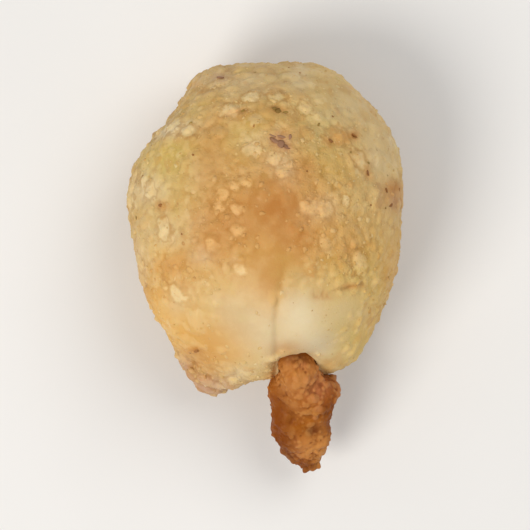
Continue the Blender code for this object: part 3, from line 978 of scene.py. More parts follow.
def patches(points, places):
    """The same for patches that stay on the top of the crust, and reach lower on the skirt."""
    _, y, z = points.T / MM
    lower = SKIRT_LOWER_BY * (1.0 - smooth_step(y, SKIRT_FULL_Y, SKIRT_FROM_Y))
    return spots(points, places) * smooth_step(z + lower, PATCHES_FROM, PATCHES_AT)


crust_corners = corners_of(crust)
print("share of the crust that is top:", round(float((crust_corners[:, 2] > PATCHES_AT * MM).mean()), 2))

# %% Brown and gold patches
# Each patch, here and below: middle x and y, half width and half length in millimetres, and strength.
BROWN_AND_SHADE_PATCHES = (
    (0.2, -5.0, 4.4, 4.4, 0.22),  # crown
    (1.2, 2.2, 3.0, 3.4, 0.9),  # its darkest strip
    (5.0, -2.8, 2.4, 2.4, 0.7),
    (-5.6, -0.4, 4.4, 5.0, 0.72),  # left wing of the blush
    (-8.6, -3.2, 2.0, 2.0, 0.35), (-14.0, -6.2, 2.6, 1.3, 0.42),
    (3.0, -18.5, 1.9, 0.9, 0.48),  # painted shade under the end of the seam, below the flap
    (3.2, -0.6, 1.8, 3.2, 0.5), (-4.2, 1.6, 1.2, 1.2, 0.3),
    (-9.2, -23.0, 1.4, 0.7, 0.4),  # painted shade between the lumps of the torn skirt
    (-10.4, 20.2, 1.2, 1.2, 0.35), (18.5, 5.0, 1.2, 0.8, 0.7), (18.8, -7.5, 1.6, 3.4, 0.25),
    (-14.2, -7.0, 1.6, 0.9, 0.3),
    (5.8, 3.0, 3.6, 4.2, 0.4),  # right wing
    (0.6, -9.0, 2.0, 2.8, 0.38),  # down to the flap
    (0.0, 5.5, 11.0, 8.0, 0.34),  # halo round the crown
    (-8.0, 12.0, 2.0, 4.6, 0.42), (-7.5, 8.0, 4.0, 3.0, 0.2), (12.0, -2.6, 3.4, 3.4, 0.4),
    (3.0, 12.6, 2.2, 1.4, 0.35), (5.3, 8.0, 1.5, 1.4, 0.5),
    (1.6, 16.1, 1.5, 0.45, 0.65),  # cracks, darkened with painted shade
    (-3.5, 15.9, 1.6, 0.35, 0.45), (7.9, -10.8, 1.6, 0.35, 0.6), (12.4, -9.4, 1.6, 0.40, 0.7),
    (12.2, -4.2, 1.0, 0.7, 0.4), (14.6, 7.0, 0.5, 0.9, 0.7),
    (12.6, 12.5, 0.8, 0.7, 0.8),  # toasted ends of a chip
    (9.1, 11.6, 0.7, 0.6, 0.6),
    (-10.7, -18.8, 1.2, 0.5, 0.8),  # scorched spot on the skirt
    (18.2, 3.6, 1.5, 2.0, 0.55),  # right rim
    (-17.6, -10.4, 1.0, 1.5, 0.4),  # left rim
    # The middle patch on the next line is painted shade beside a pale crumb.
    (-15.2, 2.2, 0.9, 0.7, 0.7), (-12.0, -8.8, 1.2, 0.6, 0.35), (-9.5, -20.6, 3.4, 1.4, 0.4),
    # The first patch on the next line is painted shade where the front of the dough curves down.
    (-8.2, -17.6, 4.0, 2.8, 0.3), (-12.0, -6.0, 3.0, 2.4, 0.2), (5.0, 18.2, 4.0, 1.6, 0.22),
    (-1.0, 15.2, 4.0, 1.6, 0.22),
    (0.6, -22.8, 0.9, 1.2, 0.45),  # dough toasted beside the leak
)
GOLD_PATCHES = (
    (-15.8, -11.5, 2.8, 5.5, 1.0),  # golden edge
    (-12.0, -16.5, 3.6, 3.4, 0.85), (-8.0, -18.6, 4.2, 2.8, 0.75), (-13.6, -6.4, 3.4, 1.9, 0.7),
    (18.4, -7.0, 2.0, 5.0, 0.8), (13.2, 9.2, 1.7, 1.2, 0.9), (11.0, -12.0, 4.0, 2.4, 0.3),
    (15.2, -14.6, 1.6, 2.4, 0.55), (-1.5, -11.0, 3.6, 2.4, 0.35), (-6.0, -19.0, 2.4, 2.0, 0.25),
    (14.5, -2.0, 3.6, 5.0, 0.25), (-9.0, -16.0, 2.6, 2.6, 0.45), (-6.0, -8.5, 6.0, 2.6, 0.3),
    (-3.0, -19.0, 3.5, 3.0, 0.3),
    (0.4, -4.4, 6.5, 3.8, 0.42),  # crown
    (0.5, -11.6, 1.3, 2.2, 0.45),  # edge of the flap
    (-6.0, 1.0, 3.4, 4.6, 0.45), (6.4, -1.0, 3.0, 3.0, 0.3),
    (10.8, 12.2, 1.6, 0.9, 0.85),  # toasted chip
)
print("brown and gold patches:", len(BROWN_AND_SHADE_PATCHES), len(GOLD_PATCHES))

# %% [markdown]
# ### Yellow and olive
#
# Melted cheese soaked with butter tints the crust: a clear yellow on the right lobe, and a
# duller olive where it is thickest on the far half.

# %% Yellow and olive patches
YELLOW_PATCHES = (
    (12.6, -14.0, 4.2, 6.0, 1.0),  # right lobe
    (-13.6, 9.0, 3.8, 2.8, 0.8), (-14.0, 5.5, 4.0, 4.0, 0.35), (-15.6, -5.2, 2.4, 1.6, 0.5),
    (9.2, 9.0, 2.8, 2.6, 0.45), (9.0, 16.5, 6.0, 5.0, 0.3), (14.0, 1.0, 4.5, 9.0, 0.5),
    (15.5, -9.0, 2.5, 4.0, 0.5), (15.0, -1.5, 2.4, 2.6, 0.3),
    (-2.2, 10.8, 1.6, 1.3, 0.6),  # a large yellow crumb
    (-3.5, 12.6, 2.6, 1.8, 0.35), (-3.0, -21.5, 4.0, 1.6, 0.45),
)
OLIVE_PATCHES = (
    (-12.6, 7.6, 4.6, 4.8, 0.62), (-8.0, 5.6, 3.0, 3.0, 0.22), (-3.4, 10.0, 2.6, 2.4, 0.5),
    (0.0, 15.4, 5.0, 2.4, 0.4), (6.4, 12.6, 2.4, 2.2, 0.65), (-14.6, 6.4, 2.6, 2.4, 0.4),
    (-10.0, 8.0, 2.6, 2.2, 0.3), (6.2, 18.2, 3.4, 1.7, 0.5), (9.2, 15.0, 2.2, 2.0, 0.35),
    (-10.0, 15.4, 2.2, 1.6, 0.4), (9.0, 8.6, 2.4, 2.0, 0.3), (-0.5, 12.4, 4.0, 1.8, 0.3),
)
print("yellow and olive patches:", len(YELLOW_PATCHES), len(OLIVE_PATCHES))

# %% [markdown]
# ### White and pink
#
# Dough that was stretched or shaded stayed white, and so did some of the chips. Thin torn
# edges went pink before they could brown. One white patch is painted light on the flap's
# edge, and two pink patches are painted shade.

# %% White and pink patches
WHITE_AND_LIT_PATCHES = (
    (2.7, 7.1, 1.3, 1.5, 0.82),  # crumbs above the crown
    (1.4, 8.8, 1.5, 1.2, 0.7), (-2.2, 10.8, 1.5, 1.2, 0.6),
    (6.1, 1.6, 1.3, 1.4, 0.62),  # crumbs on the right of the crown
    (8.6, 1.7, 1.4, 1.4, 0.62), (-9.4, -5.1, 1.6, 1.2, 0.62), (-9.2, 0.4, 1.6, 1.4, 0.3),
    (-9.2, 6.4, 1.8, 2.6, 0.2), (6.2, 12.6, 1.8, 1.8, 0.13), (14.0, 1.6, 3.0, 3.4, 0.12),
    (-15.6, 13.3, 1.5, 1.2, 0.6),
    (5.0, 22.0, 1.3, 2.8, 0.55),  # pale ridge at the far end
    (-1.0, 20.2, 6.4, 2.4, 0.4), (12.0, 16.8, 4.4, 3.6, 0.5), (16.4, 9.0, 2.8, 5.0, 0.5),
    (17.8, 0.5, 2.0, 4.5, 0.15),
    (18.4, 12.6, 1.0, 1.4, 0.6),  # right shoulder
    (-13.4, 13.6, 3.6, 1.1, 0.7),  # far end on the left
    (-17.4, 4.6, 2.8, 2.0, 0.75),  # left rim
    (-18.6, -5.6, 1.5, 3.4, 0.42), (-14.2, -1.6, 2.8, 1.8, 0.46), (-13.0, -11.4, 1.6, 2.2, 0.42),
    (-12.3, -20.8, 0.8, 0.7, 0.65),  # pale lumps of the torn skirt
    (-9.6, -24.2, 0.9, 0.6, 0.45), (-6.8, -24.3, 0.9, 0.8, 0.75), (-3.4, -21.6, 1.8, 0.9, 0.4),
    (-4.8, -23.0, 1.3, 1.1, 0.7),
    (0.6, -16.2, 1.8, 4.4, 0.5),  # painted light on the edge of the flap
    (-4.6, -12.8, 4.2, 4.2, 0.42),  # smooth flap left of the seam
    (-1.6, -16.5, 2.8, 4.0, 0.42),
)
STRETCHED_PATCHES = (  # dough drawn thin over the filling, right of the seam
    (4.8, -13.8, 2.8, 3.8, 0.9), (7.2, -18.0, 2.6, 2.6, 0.75), (11.0, -12.8, 3.6, 2.6, 0.42),
)
PINK_AND_SHADE_PATCHES = (
    (-9.2, -24.2, 3.6, 1.8, 1.0),  # torn skirt
    (-12.6, -21.2, 1.6, 1.4, 0.8), (18.6, 3.2, 1.2, 2.0, 0.5), (-6.8, 21.0, 1.4, 0.9, 0.6),
    (1.7, 11.7, 1.5, 1.2, 0.7), (2.8, 10.6, 0.8, 0.7, 0.5), (-15.8, 13.6, 1.8, 1.0, 0.15),
    (-18.6, -6.5, 1.0, 2.4, 0.25),
    (5.6, -17.8, 3.6, 1.2, 0.3),  # white dough above the leak
    # The first two patches on the next line are painted shade: cast by the flap on the dough right of the
    # seam, and under a crumb on the far half.
    (2.2, -15.8, 0.9, 2.6, 0.22), (-5.0, 15.6, 1.4, 0.9, 0.35), (-9.6, 7.2, 2.2, 3.0, 0.22),
)
print("white and pink patches:", len(WHITE_AND_LIT_PATCHES) + len(STRETCHED_PATCHES), len(PINK_AND_SHADE_PATCHES))

# %% [markdown]
# ### What the tray and the flap did
#
# The edge at the tray is fried brown all round. The dough just right of the seam lay under
# the flap until it opened, so it is sheltered from the brown, and its white ends sharply at
# the flap's edge.

# %% Brown, white and the other masks
TRAY_BROWN = 0.75
TRAY_RING = (0.3, 6.5)  # heights in millimetres between which the tray's browning fades
SHELTER = 0.85  # how much of the brown the flap kept off
SHELTER_ASIDE = (-0.6 * MM, 0.6 * MM)  # where the shelter starts, to the right of the seam's line
SHELTER_TO_X = (5.0, 7.0)  # millimetres between which it ends on the right
SHELTER_FROM_Y = (-17.5, -15.5)  # and between which it starts and ends along the seam
SHELTER_TO_Y = (-8.0, -5.0)
STRETCHED_ASIDE = (-0.3 * MM, 0.7 * MM)  # where stretched dough comes out from under the flap
OVEN_PATCHES = {
    "gold": GOLD_PATCHES,
    "yellow": YELLOW_PATCHES,
    "olive": OLIVE_PATCHES,
    "pink": PINK_AND_SHADE_PATCHES,
}


def browned(points):
    """How brown the crust is: the patches on top, some of them painted shade, and the fried edge at the tray.
    """
    x, y, z = points.T / MM
    aside, _ = beside_seam(points)
    sheltered = smooth_step(aside, *SHELTER_ASIDE) * (1.0 - smooth_step(y, *SHELTER_TO_Y))
    sheltered *= 1.0 - smooth_step(x, *SHELTER_TO_X)
    sheltered *= smooth_step(y, *SHELTER_FROM_Y)
    tray = TRAY_BROWN * (1.0 - smooth_step(z, *TRAY_RING))
    return 1.0 - (1.0 - patches(points, BROWN_AND_SHADE_PATCHES) * (1.0 - SHELTER * sheltered)) * (1.0 - tray)


def whitened(points):
    """How white the crust is: pale spots, one of them painted light on the flap's edge, and stretched dough
    that ends sharply under the flap.
    """
    aside, _ = beside_seam(points)
    stretched = patches(points, STRETCHED_PATCHES) * smooth_step(aside, *STRETCHED_ASIDE)
    return 1.0 - (1.0 - patches(points, WHITE_AND_LIT_PATCHES)) * (1.0 - stretched)


def store_masks(piece, points):
    """Keep the oven's masks on a piece, read at the given points."""
    store(piece, "brown", browned(points))
    store(piece, "white", whitened(points))
    for name, places in OVEN_PATCHES.items():
        store(piece, name, patches(points, places))


store_masks(crust, crust_corners)
print("masks on the crust:", ["brown", "white", *OVEN_PATCHES])

# %% [markdown]
# ### Which crumb a spot belongs to
#
# In the crust the crumbs are one skin with the dough, but each still has its own shade. For
# every corner of the mesh the nearest crumbs are looked up, and the corner is measured in
# the crumb's own frame, where the crumb is a ball of radius 1. Inside it, the corner takes
# the crumb's tone. Just outside lies its foot, a thin ring of painted shade.

# %% Tell crumbs from dough
NEIGHBOURS = 4
CRUMB_FADE = (0.8, 1.4)  # where a crumb's shade starts to fade, and ends, in half sides from its middle
EDGE_WANDERS_BY = 0.3  # how far the edge of a crumb's shade strays, as a share of the crumb
EDGE_WANDERS_EVERY = 0.9 * MM
FOOT_AT = 1.4  # where a ring of painted shade lies round the foot of a crumb, from its middle, in half sides
FOOT_HALF_WIDTH = 0.22


def crumb_under(points, middles, axes, halves, tones, shares, neighbours=NEIGHBOURS):
    """For each point, how much it belongs to a crumb, that crumb's tone, and how near its foot is."""
    tree = tree_of(middles)
    near = np.array([[found[1] for found in tree.find_n(point, neighbours)] for point in points])
    apart = points[:, None, :] - middles[near]
    local = np.einsum("pkj,pkij->pki", apart, axes[near]) / halves[near]
    strayed = 1.0 + EDGE_WANDERS_BY * unevenness(points, EDGE_WANDERS_EVERY)
    away = np.linalg.norm(local, axis=2) * strayed[:, None]
    nearest = away.argmin(axis=1)
    rows = np.arange(len(points))
    away, crumb = away[rows, nearest], near[rows, nearest]
    belongs = (1.0 - smooth_step(away, *CRUMB_FADE)) * shares[crumb]
    foot = np.exp(-(((away - FOOT_AT) / FOOT_HALF_WIDTH) ** 2))
    return belongs, tones[crumb], foot


# %% Store which crumb each corner belongs to
TONE_SEED = 23
CHIP_SHARE = 0.45  # how much of its own shade a scattered chip has
MELTED_SHARES = (0.35, 0.38, 0.40)  # the same for the kinds of melted grain
MELTED_TONES = (0.1, 1.0)  # 0 is cream, and 1 is toasted
CHIP_TONES = (0.1, 0.45)
CHIP_NEIGHBOURS = 2
MELTED_FOOT = 0.5  # how strong the foot of a melted grain is beside that of a chip
PLACED_BY_HAND = len(STANDING_CRUMBS) + len(SKIRT_CRUMBS)
CHIPS_BY_HAND = slice(0, PLACED_BY_HAND)
SCATTERED_CHIPS = slice(PLACED_BY_HAND, None)
TOASTED_CHIP = 27  # which chip listed one by one has browned
TOASTED_TONE = 0.9

tone_draws = np.random.default_rng(TONE_SEED)
shares = [CHIP_SHARE] * SCATTERED_CRUMBS
for share, laid in zip(MELTED_SHARES, melted):
    shares += [share] * len(laid[0])
scattered = [
    np.concatenate([of_chips[SCATTERED_CHIPS], of_grains])
    for of_chips, of_grains in zip(coarse_frames, melted_frames)
]
tones = tone_draws.uniform(*MELTED_TONES, size=len(shares))
belongs, tone, crumb_foot = crumb_under(crust_corners, *scattered, tones, np.array(shares))

by_hand = [of_chips[CHIPS_BY_HAND] for of_chips in coarse_frames]
tones = tone_draws.uniform(*CHIP_TONES, PLACED_BY_HAND)
tones[TOASTED_CHIP] = TOASTED_TONE
chip, chip_tone, chip_foot = crumb_under(
    crust_corners, *by_hand, tones, np.ones(PLACED_BY_HAND), CHIP_NEIGHBOURS
)
store(crust, "chip", chip)
store(crust, "crumb", belongs)
store(crust, "foot", np.maximum(chip_foot, MELTED_FOOT * crumb_foot * (1.0 - chip)))
store(crust, "tone", np.where(chip > belongs, chip_tone, tone))
print("share of the crust that is crumbs:", round(float(belongs.mean()), 2))

# %% [markdown]
# ### Hollows, coat and inside
#
# Hollows are darkened with painted shade. A spot lies in one if the surface, smoothed many
# times over, passes above it. Rays cast into every crack would tell the same far more slowly.

# %% Store hollows, coat and inside
CRUST_SMOOTHING = 14  # rounds of smoothing that tell a hollow from its surroundings
CRUST_HOLLOW = 0.22 * MM  # depth at which it counts in full
WALL_FADE = (0.25 * MM, 0.7 * MM)  # how far from the room's wall a corner is still inside, and outside


def hollowness(piece, rounds, full_depth):
    """How deep each corner lies below its surroundings, from -1 on a peak to 1 in a hollow."""
    edges = numbers_of(piece.data.edges, "vertices", 2, np.int32)
    first, last = edges.T
    corners = corners_of(piece)
    smooth = corners.copy()
    degree = np.bincount(edges.ravel(), minlength=len(corners))[:, None]
    for _ in range(rounds):
        total = np.stack([
            np.bincount(first, smooth[last, axis], len(corners))
            + np.bincount(last, smooth[first, axis], len(corners))
            for axis in range(3)
        ], axis=1)
        smooth = total / degree
    depth = ((smooth - corners) * normals_of(piece)).sum(axis=1)
    return np.clip(depth / full_depth, -1.0, 1.0)


hollow = hollowness(crust, CRUST_SMOOTHING, CRUST_HOLLOW)
store(crust, "hollow", hollow)
store(crust, "coat", coat(crust_corners))
store(crust, "inside", 1.0 - smooth_step(distances(wall_tree, crust_corners), *WALL_FADE))
print("share of the crust that is hollows:", round(float((hollow > 0.0).mean()), 2))

# %% [markdown]
# ## Loose grains and dust
#
# The finest cheese lies on top of the crust as grains and dust that kept their own shape.
# They are far too many for one object each, so each size is one mesh. Triangles of the
# finished crust are drawn at random, a large one more often than a small one, and a grain
# is laid on each where the coat is thick.

# %% Draw places on the finished crust
CLEAR_OF_WALL = 0.5 * MM  # how far from the room's wall a place has to be to count as outside


def crust_places(crust, count, draws):
    """Random points spread evenly over the crust's outside, with its normals there."""
    crust.data.calc_loop_triangles()
    triangles = numbers_of(crust.data.loop_triangles, "vertices", 3, np.int32)
    corners, normals = corners_of(crust), normals_of(crust)
    first, second, third = (corners[triangles[:, side]] for side in range(3))
    area = np.linalg.norm(np.cross(second - first, third - first), axis=1)
    chance = area * (distances(wall_tree, first) > CLEAR_OF_WALL)
    drawn = draws.choice(len(triangles), count, p=chance / chance.sum())
    weights = draws.dirichlet((1.0, 1.0, 1.0), count)
    points = (corners[triangles[drawn]] * weights[:, :, None]).sum(axis=1)
    return points, unit((normals[triangles[drawn]] * weights[:, :, None]).sum(axis=1))


def per_corner(piece, values):
    """Values of whole grains, repeated for every corner of each grain."""
    return np.repeat(values, len(piece.data.vertices) // len(values), axis=0)


def laid_piece(name, points, facing, widths, draws, subdivisions, **lie):
    """One mesh of grains laid at points, with a tone drawn for each grain."""
    shapes, triangles = grain_shapes(subdivisions, draws)
    corners = lay_grains(shapes, points, facing, widths, draws, **lie)[0]
    piece = new_piece(name, corners, joined_triangles(triangles, corners))
    store(piece, "tone", per_corner(piece, draws.uniform(size=len(points))))
    print(name + ":", len(points), "laid,", len(piece.data.polygons), "triangles")
    return piece


# %% Grains and dust of grated cheese
GRAIN_CLEAR_OF_LEAK = 0.25 * MM
COATED_GRAINS = 0.16  # how thickly grains lie where the coat is thick
STRETCH_GRAINS = 0.8  # and how thickly in the grainy stretches
COATED_DUST = 0.6  # the same for dust, which also lies on the right lobe
LOBE_DUST = 0.3
LOBE = (11.0, -15.0, 5.0, 6.5)  # middle x and y, half width and half length, in millimetres

# Stretches where grains kept their shape, each given as a patch is.
GRAINY_STRETCHES = (
    (-5.0, 1.0, 3.6, 5.0, 0.8),  # left of the crown
    (8.0, 1.0, 3.0, 3.6, 0.9),  # right of the crown
    (3.0, 8.5, 2.6, 2.0, 0.8), (13.5, -6.5, 3.4, 3.4, 0.6), (-14.0, -2.0, 4.0, 4.0, 0.5),
    (-9.0, -21.5, 4.0, 2.6, 0.9),  # torn skirt
    (-3.0, -21.8, 3.0, 1.4, 0.9),
)


def grain_coat(points):
    """Where distinct grains lie: thick in the grainy stretches, and thin elsewhere."""
    share = COATED_GRAINS * coat(points) + STRETCH_GRAINS * patches(points, GRAINY_STRETCHES)
    return np.clip(share, 0.0, 1.0)


def dust_coat(points):
    """Where dust lies: all over the coat, and on the right lobe."""
    lobe = np.exp(-(from_middle(points, *LOBE) ** 2)) * smooth_step(points[:, 2] / MM, *TOP_SPAN)
    return np.clip(COATED_DUST * coat(points) + LOBE_DUST * lobe, 0.0, 1.0)


def grain_piece(name, thickness, seed, tries, sizes, apart, sink, subdivisions):
    """One mesh of grains that lie on the crust, more of them where the coat is thick."""
    draws = np.random.default_rng(seed)
    points, facing = crust_places(crust, tries, draws)
    wanted = draws.uniform(size=tries) < thickness(points)
    points, facing = points[wanted], facing[wanted]
    smallest, largest = sizes
    widths = smallest + (largest - smallest) * draws.uniform(size=len(points)) ** 2
    clear = distances(leak_tree, points) > GRAIN_CLEAR_OF_LEAK + widths / 2.0
    points, facing, widths = points[clear], facing[clear], widths[clear]
    kept = keep_apart(points, widths * apart)
    piece = laid_piece(name, points[kept], facing[kept], widths[kept], draws, subdivisions, sink=sink)
    store_masks(piece, per_corner(piece, points[kept]))
    return piece


grains = grain_piece(
    "cheese_grains", grain_coat, seed=31, tries=4200,
    sizes=(0.55 * MM, 1.3 * MM), apart=0.46, sink=0.22, subdivisions=2,
)
dust = grain_piece(
    "cheese_dust", dust_coat, seed=37, tries=9000,
    sizes=(0.24 * MM, 0.46 * MM), apart=0.45, sink=0.14, subdivisions=1,
)

# %% [markdown]
# ## The leaked filling
#
# The tongue is the filling's own form with the surface that browned cheese has: grainy
# lumps, blisters that rose and set, and pits where they burst. Small round bumps, pushed
# out or in along the normals, make all three. They fade out under the lip of dough, where
# the filling is smooth and hidden.

# %% Kinds of bump and pit
BUMP_SEED = 61
MOSTLY_SMALL_BUMPS = 1.5  # more draws more small ones
BUMP_SHARPNESS = 1.5  # 0.5 makes round domes, and more narrows them towards their tops
# Kinds of bump: how many, smallest and largest radius, and height as a share of the radius.
BUMP_KINDS = (
    (900, 0.22 * MM, 0.50 * MM, 0.34),  # grains of browned cheese
    (150, 0.45 * MM, 0.95 * MM, 0.26),
    (26, 0.9 * MM, 1.7 * MM, 0.20),  # blisters
    (120, 0.22 * MM, 0.50 * MM, -0.40),  # pits
)
# The skin's own unevenness: how high, and how far apart its lumps lie.
SKIN_RELIEFS = ((0.10 * MM, 1.3 * MM), (0.05 * MM, 0.45 * MM))
RED_LUMPS = 60
RED_LUMP_SIZES = (0.35 * MM, 0.80 * MM)
RED_LUMP_HEIGHT = 0.32  # as a share of its radius
RED_SHOULDER = (8.3, -23.8, 2.6, 2.8)  # given as LOBE is
RED_SHOULDER_HEIGHTS = (10.0, 15.0)
LARGE_PIT = (6.6, -30.9, 0.75, 0.75)
LARGE_PIT_DEPTH = -0.42 * MM


def dimples(points, centres, radii, heights):
    """Round bumps or pits: how far they move points out, summed over all of them."""
    moved = np.zeros(len(points))
    for centre, radius, height in zip(centres, radii, heights):
        away = ((points - centre) ** 2).sum(axis=1) / radius**2
        moved += height * np.clip(1.0 - away, 0.0, 1.0) ** BUMP_SHARPNESS
    return moved


def red_shoulder(points):
    """The grainy reddish lumps on the tongue's right shoulder."""
    near = np.exp(-(from_middle(points, *RED_SHOULDER) ** 2))
    return near * smooth_step(points[:, 2] / MM, *RED_SHOULDER_HEIGHTS)


def large_pit(points, normals):
    """How far the large pit sinks the top of the tongue."""
    return LARGE_PIT_DEPTH * np.exp(-(from_middle(points, *LARGE_PIT) ** 2)) * (normals[:, 2] > 0.0)


print("bumps and pits to draw:", sum(count for count, *_ in BUMP_KINDS) + RED_LUMPS + 1)

# %% Browned cheese outside, smooth cheese inside
FILLING_SIDES = 216
FILLING_RINGS = 400
FILLING_EVENNESS = 0.75
LEAK_FROM_Y = -19.0  # millimetres; the filling shows from here on
LEAK_FULL_Y = -20.5

filling = filling_form("melted_filling", FILLING_SIDES, FILLING_RINGS, FILLING_EVENNESS)
filling_corners, filling_normals = corners_of(filling), normals_of(filling)
showing = 1.0 - smooth_step(filling_corners[:, 1] / MM, LEAK_FULL_Y, LEAK_FROM_Y)
outer = filling_corners[filling_corners[:, 1] < LEAK_FROM_Y * MM]
rise = sum(height * unevenness(filling_corners, every) for height, every in SKIN_RELIEFS)

draws = np.random.default_rng(BUMP_SEED)
grainy = np.zeros(len(filling_corners))
for count, smallest, largest, share in BUMP_KINDS:
    radii = smallest + (largest - smallest) * draws.uniform(size=count) ** MOSTLY_SMALL_BUMPS
    moved = dimples(filling_corners, outer[draws.integers(0, len(outer), count)], radii, radii * share)
    rise += moved
    grainy += moved
chance = red_shoulder(outer)
lump_centres = outer[draws.choice(len(outer), RED_LUMPS, p=chance / chance.sum())]
radii = draws.uniform(*RED_LUMP_SIZES, RED_LUMPS)
red_bumps = dimples(filling_corners, lump_centres, radii, radii * RED_LUMP_HEIGHT)
rise += red_bumps
rise += large_pit(filling_corners, filling_normals)
filling_corners += filling_normals * (rise * showing)[:, None]
move_corners(filling, filling_corners)
print("filling:", len(filling.data.polygons), "triangles")

# %% [markdown]
# ### The tongue's colours
#
# The tongue is darkest at its edges and its tip, and pale where fresh cheese ran over it last.
# The scorched spots are where it touched hot metal. The dark down its left side and over all
# its underside is painted shade, and a few pale spots are painted highlights. Its patches lie
# lower than the crust's, so they are read at any height.

# %% Where the filling is burnt, reddish, dark or pale, with painted shade and highlights
BURNT_AND_SHADE_PATCHES = (
    (4.4, -19.7, 1.8, 0.7, 0.75),  # scorched edge under the lip, deepened with painted shade
    (6.9, -30.8, 1.0, 0.5, 0.8),  # large pit
    (3.3, -34.8, 0.9, 1.6, 0.65), (1.8, -33.4, 0.8, 1.4, 0.4), (6.4, -36.2, 1.4, 0.7, 0.5),
    (10.0, -22.8, 0.8, 0.8, 0.45),
)
DARK_AND_SHADE_PATCHES = (
    (1.8, -30.4, 1.9, 4.4, 1.0),  # left side, which lies in shade: painted shade
    (1.2, -26.4, 1.4, 1.8, 0.55), (4.6, -29.4, 2.4, 1.2, 0.45),
    (5.4, -36.2, 2.2, 1.2, 0.85),  # tip
    (8.8, -28.2, 1.4, 1.2, 0.5),
    (9.4, -28.6, 1.1, 3.2, 0.8),  # right side
    (2.8, -33.2, 1.2, 1.6, 0.5),
)
PALE_AND_HIGHLIGHT_PATCHES = (
    (3.0, -21.4, 1.4, 1.2, 0.75), (6.4, -21.6, 1.6, 1.2, 0.6),
    (1.7, -22.5, 0.6, 1.2, 0.9),  # tan streak
    (2.6, -24.4, 1.4, 1.2, 0.7), (3.0, -27.0, 1.0, 1.2, 0.35), (4.8, -24.4, 2.2, 1.2, 0.4),
    # The second patch on the next line is a painted highlight.
    (1.0, -26.8, 0.6, 0.4, 0.6), (3.9, -26.8, 0.6, 0.5, 0.8), (5.0, -28.2, 1.6, 0.8, 0.45),
    (6.4, -33.4, 2.4, 1.9, 0.75), (8.4, -31.0, 0.8, 1.6, 0.6), (3.5, -31.4, 0.35, 0.9, 0.7),
    (7.9, -35.4, 0.6, 0.9, 0.9),  # painted highlight at the tip
)
RED_PATCHES = (
    (4.6, -34.0, 1.4, 1.6, 0.6), (5.2, -21.0, 0.8, 0.6, 0.8), (6.4, -24.6, 2.0, 1.6, 0.5),
)
UNDERSIDE = (-0.5, 0.2)  # how far up the surface faces where the patches start, and where they are full
# painted shade: how dark the tongue is made where its surface faces down
UNDERSIDE_SHADE = 0.8
RED_SHOULDER_SHARE = 0.6
RED_LUMP_FULL = 0.22 * MM  # height of a reddish lump at which it is as red as it gets
GRAIN_FULL = 0.30 * MM  # height or depth of the bumps that the grain mask spans, half of it each way
MELTED_SPAN = (-18.6, -16.6)  # y in millimetres between which the filling turns to smooth melted cheese
FILLING_SMOOTHING = 16
FILLING_HOLLOW = 0.10 * MM

facing_up = smooth_step(filling_normals[:, 2], *UNDERSIDE)
dark = spots(filling_corners, DARK_AND_SHADE_PATCHES)
reddened = RED_SHOULDER_SHARE * red_shoulder(filling_corners) + red_bumps / RED_LUMP_FULL
reddened += spots(filling_corners, RED_PATCHES)
# Bump heights: in the material, tops get a painted highlight and pits painted shade.
grain = 0.5 + (grainy + red_bumps) * showing / GRAIN_FULL
store(filling, "burnt", spots(filling_corners, BURNT_AND_SHADE_PATCHES) * facing_up)
# Dark patches, with painted shade down the left side and under the tongue.
store(filling, "dark", np.maximum(dark, UNDERSIDE_SHADE * (1.0 - facing_up)))
# Pale patches, two of them painted highlights.
store(filling, "pale", spots(filling_corners, PALE_AND_HIGHLIGHT_PATCHES) * facing_up)
store(filling, "red", np.clip(reddened, 0.0, 1.0))
store(filling, "grain", np.clip(grain, 0.0, 1.0))
store(filling, "melted", smooth_step(filling_corners[:, 1] / MM, *MELTED_SPAN))
store(filling, "hollow", hollowness(filling, FILLING_SMOOTHING, FILLING_HOLLOW))
print("share of the filling that shows:", round(float(showing.mean()), 2))

# %% [markdown]
# ## Specks
#
# A few flecks of dried herb, pepper and onion came with the grated cheese. Each is a thin
# flake pressed into the crust. Those that catch the eye are listed one by one, and the rest
# are drawn like the loose grains.

# %% Flakes by kind
# Flecks that catch the eye: x, y and size, in millimetres.
HERB_FLECKS = ((0.9, 16.2, 1.0), (1.9, 16.1, 1.3), (2.8, 15.9, 0.8), (-3.6, 16.0, 0.8), (7.4, 13.9, 0.7))
PEPPER_FLECKS = (
    (12.6, 12.5, 1.2), (9.2, 11.6, 0.9), (14.6, 7.0, 1.0), (17.4, 4.6, 0.9), (19.2, 4.6, 0.8),
    (18.0, 2.4, 0.9), (9.6, 15.2, 0.5), (-10.4, -18.7, 1.1), (-11.2, -18.9, 0.8), (-15.2, 2.3, 0.8),
)
ONION_FLECKS = (
    (1.3, 11.6, 1.5), (2.1, 12.2, 1.3), (0.8, 12.2, 0.9), (2.0, 11.0, 1.2), (2.9, 10.6, 0.9),
    (3.2, 12.0, 0.7), (-6.8, 21.0, 1.2),
)
FLECK_TRIES = 6  # places drawn for each fleck, most of them turned down
FLECK_FINENESS = 2
FLECKS_ABOVE = 10.0 * MM
OUTSIDE = 6.0 * MM  # how far outside the skin a ray starts that looks for the crust
FLECK_LIE = {"sink": 0.02, "tilt_by": 0.25, "flat": (0.16, 0.3)}


def crust_over(point, direction):
    """Where a ray that falls on the crust from outside first meets it."""
    hit, place, _, _ = crust.ray_cast(Vector(point + direction * OUTSIDE), -Vector(direction))
    return np.array(place) if hit else point


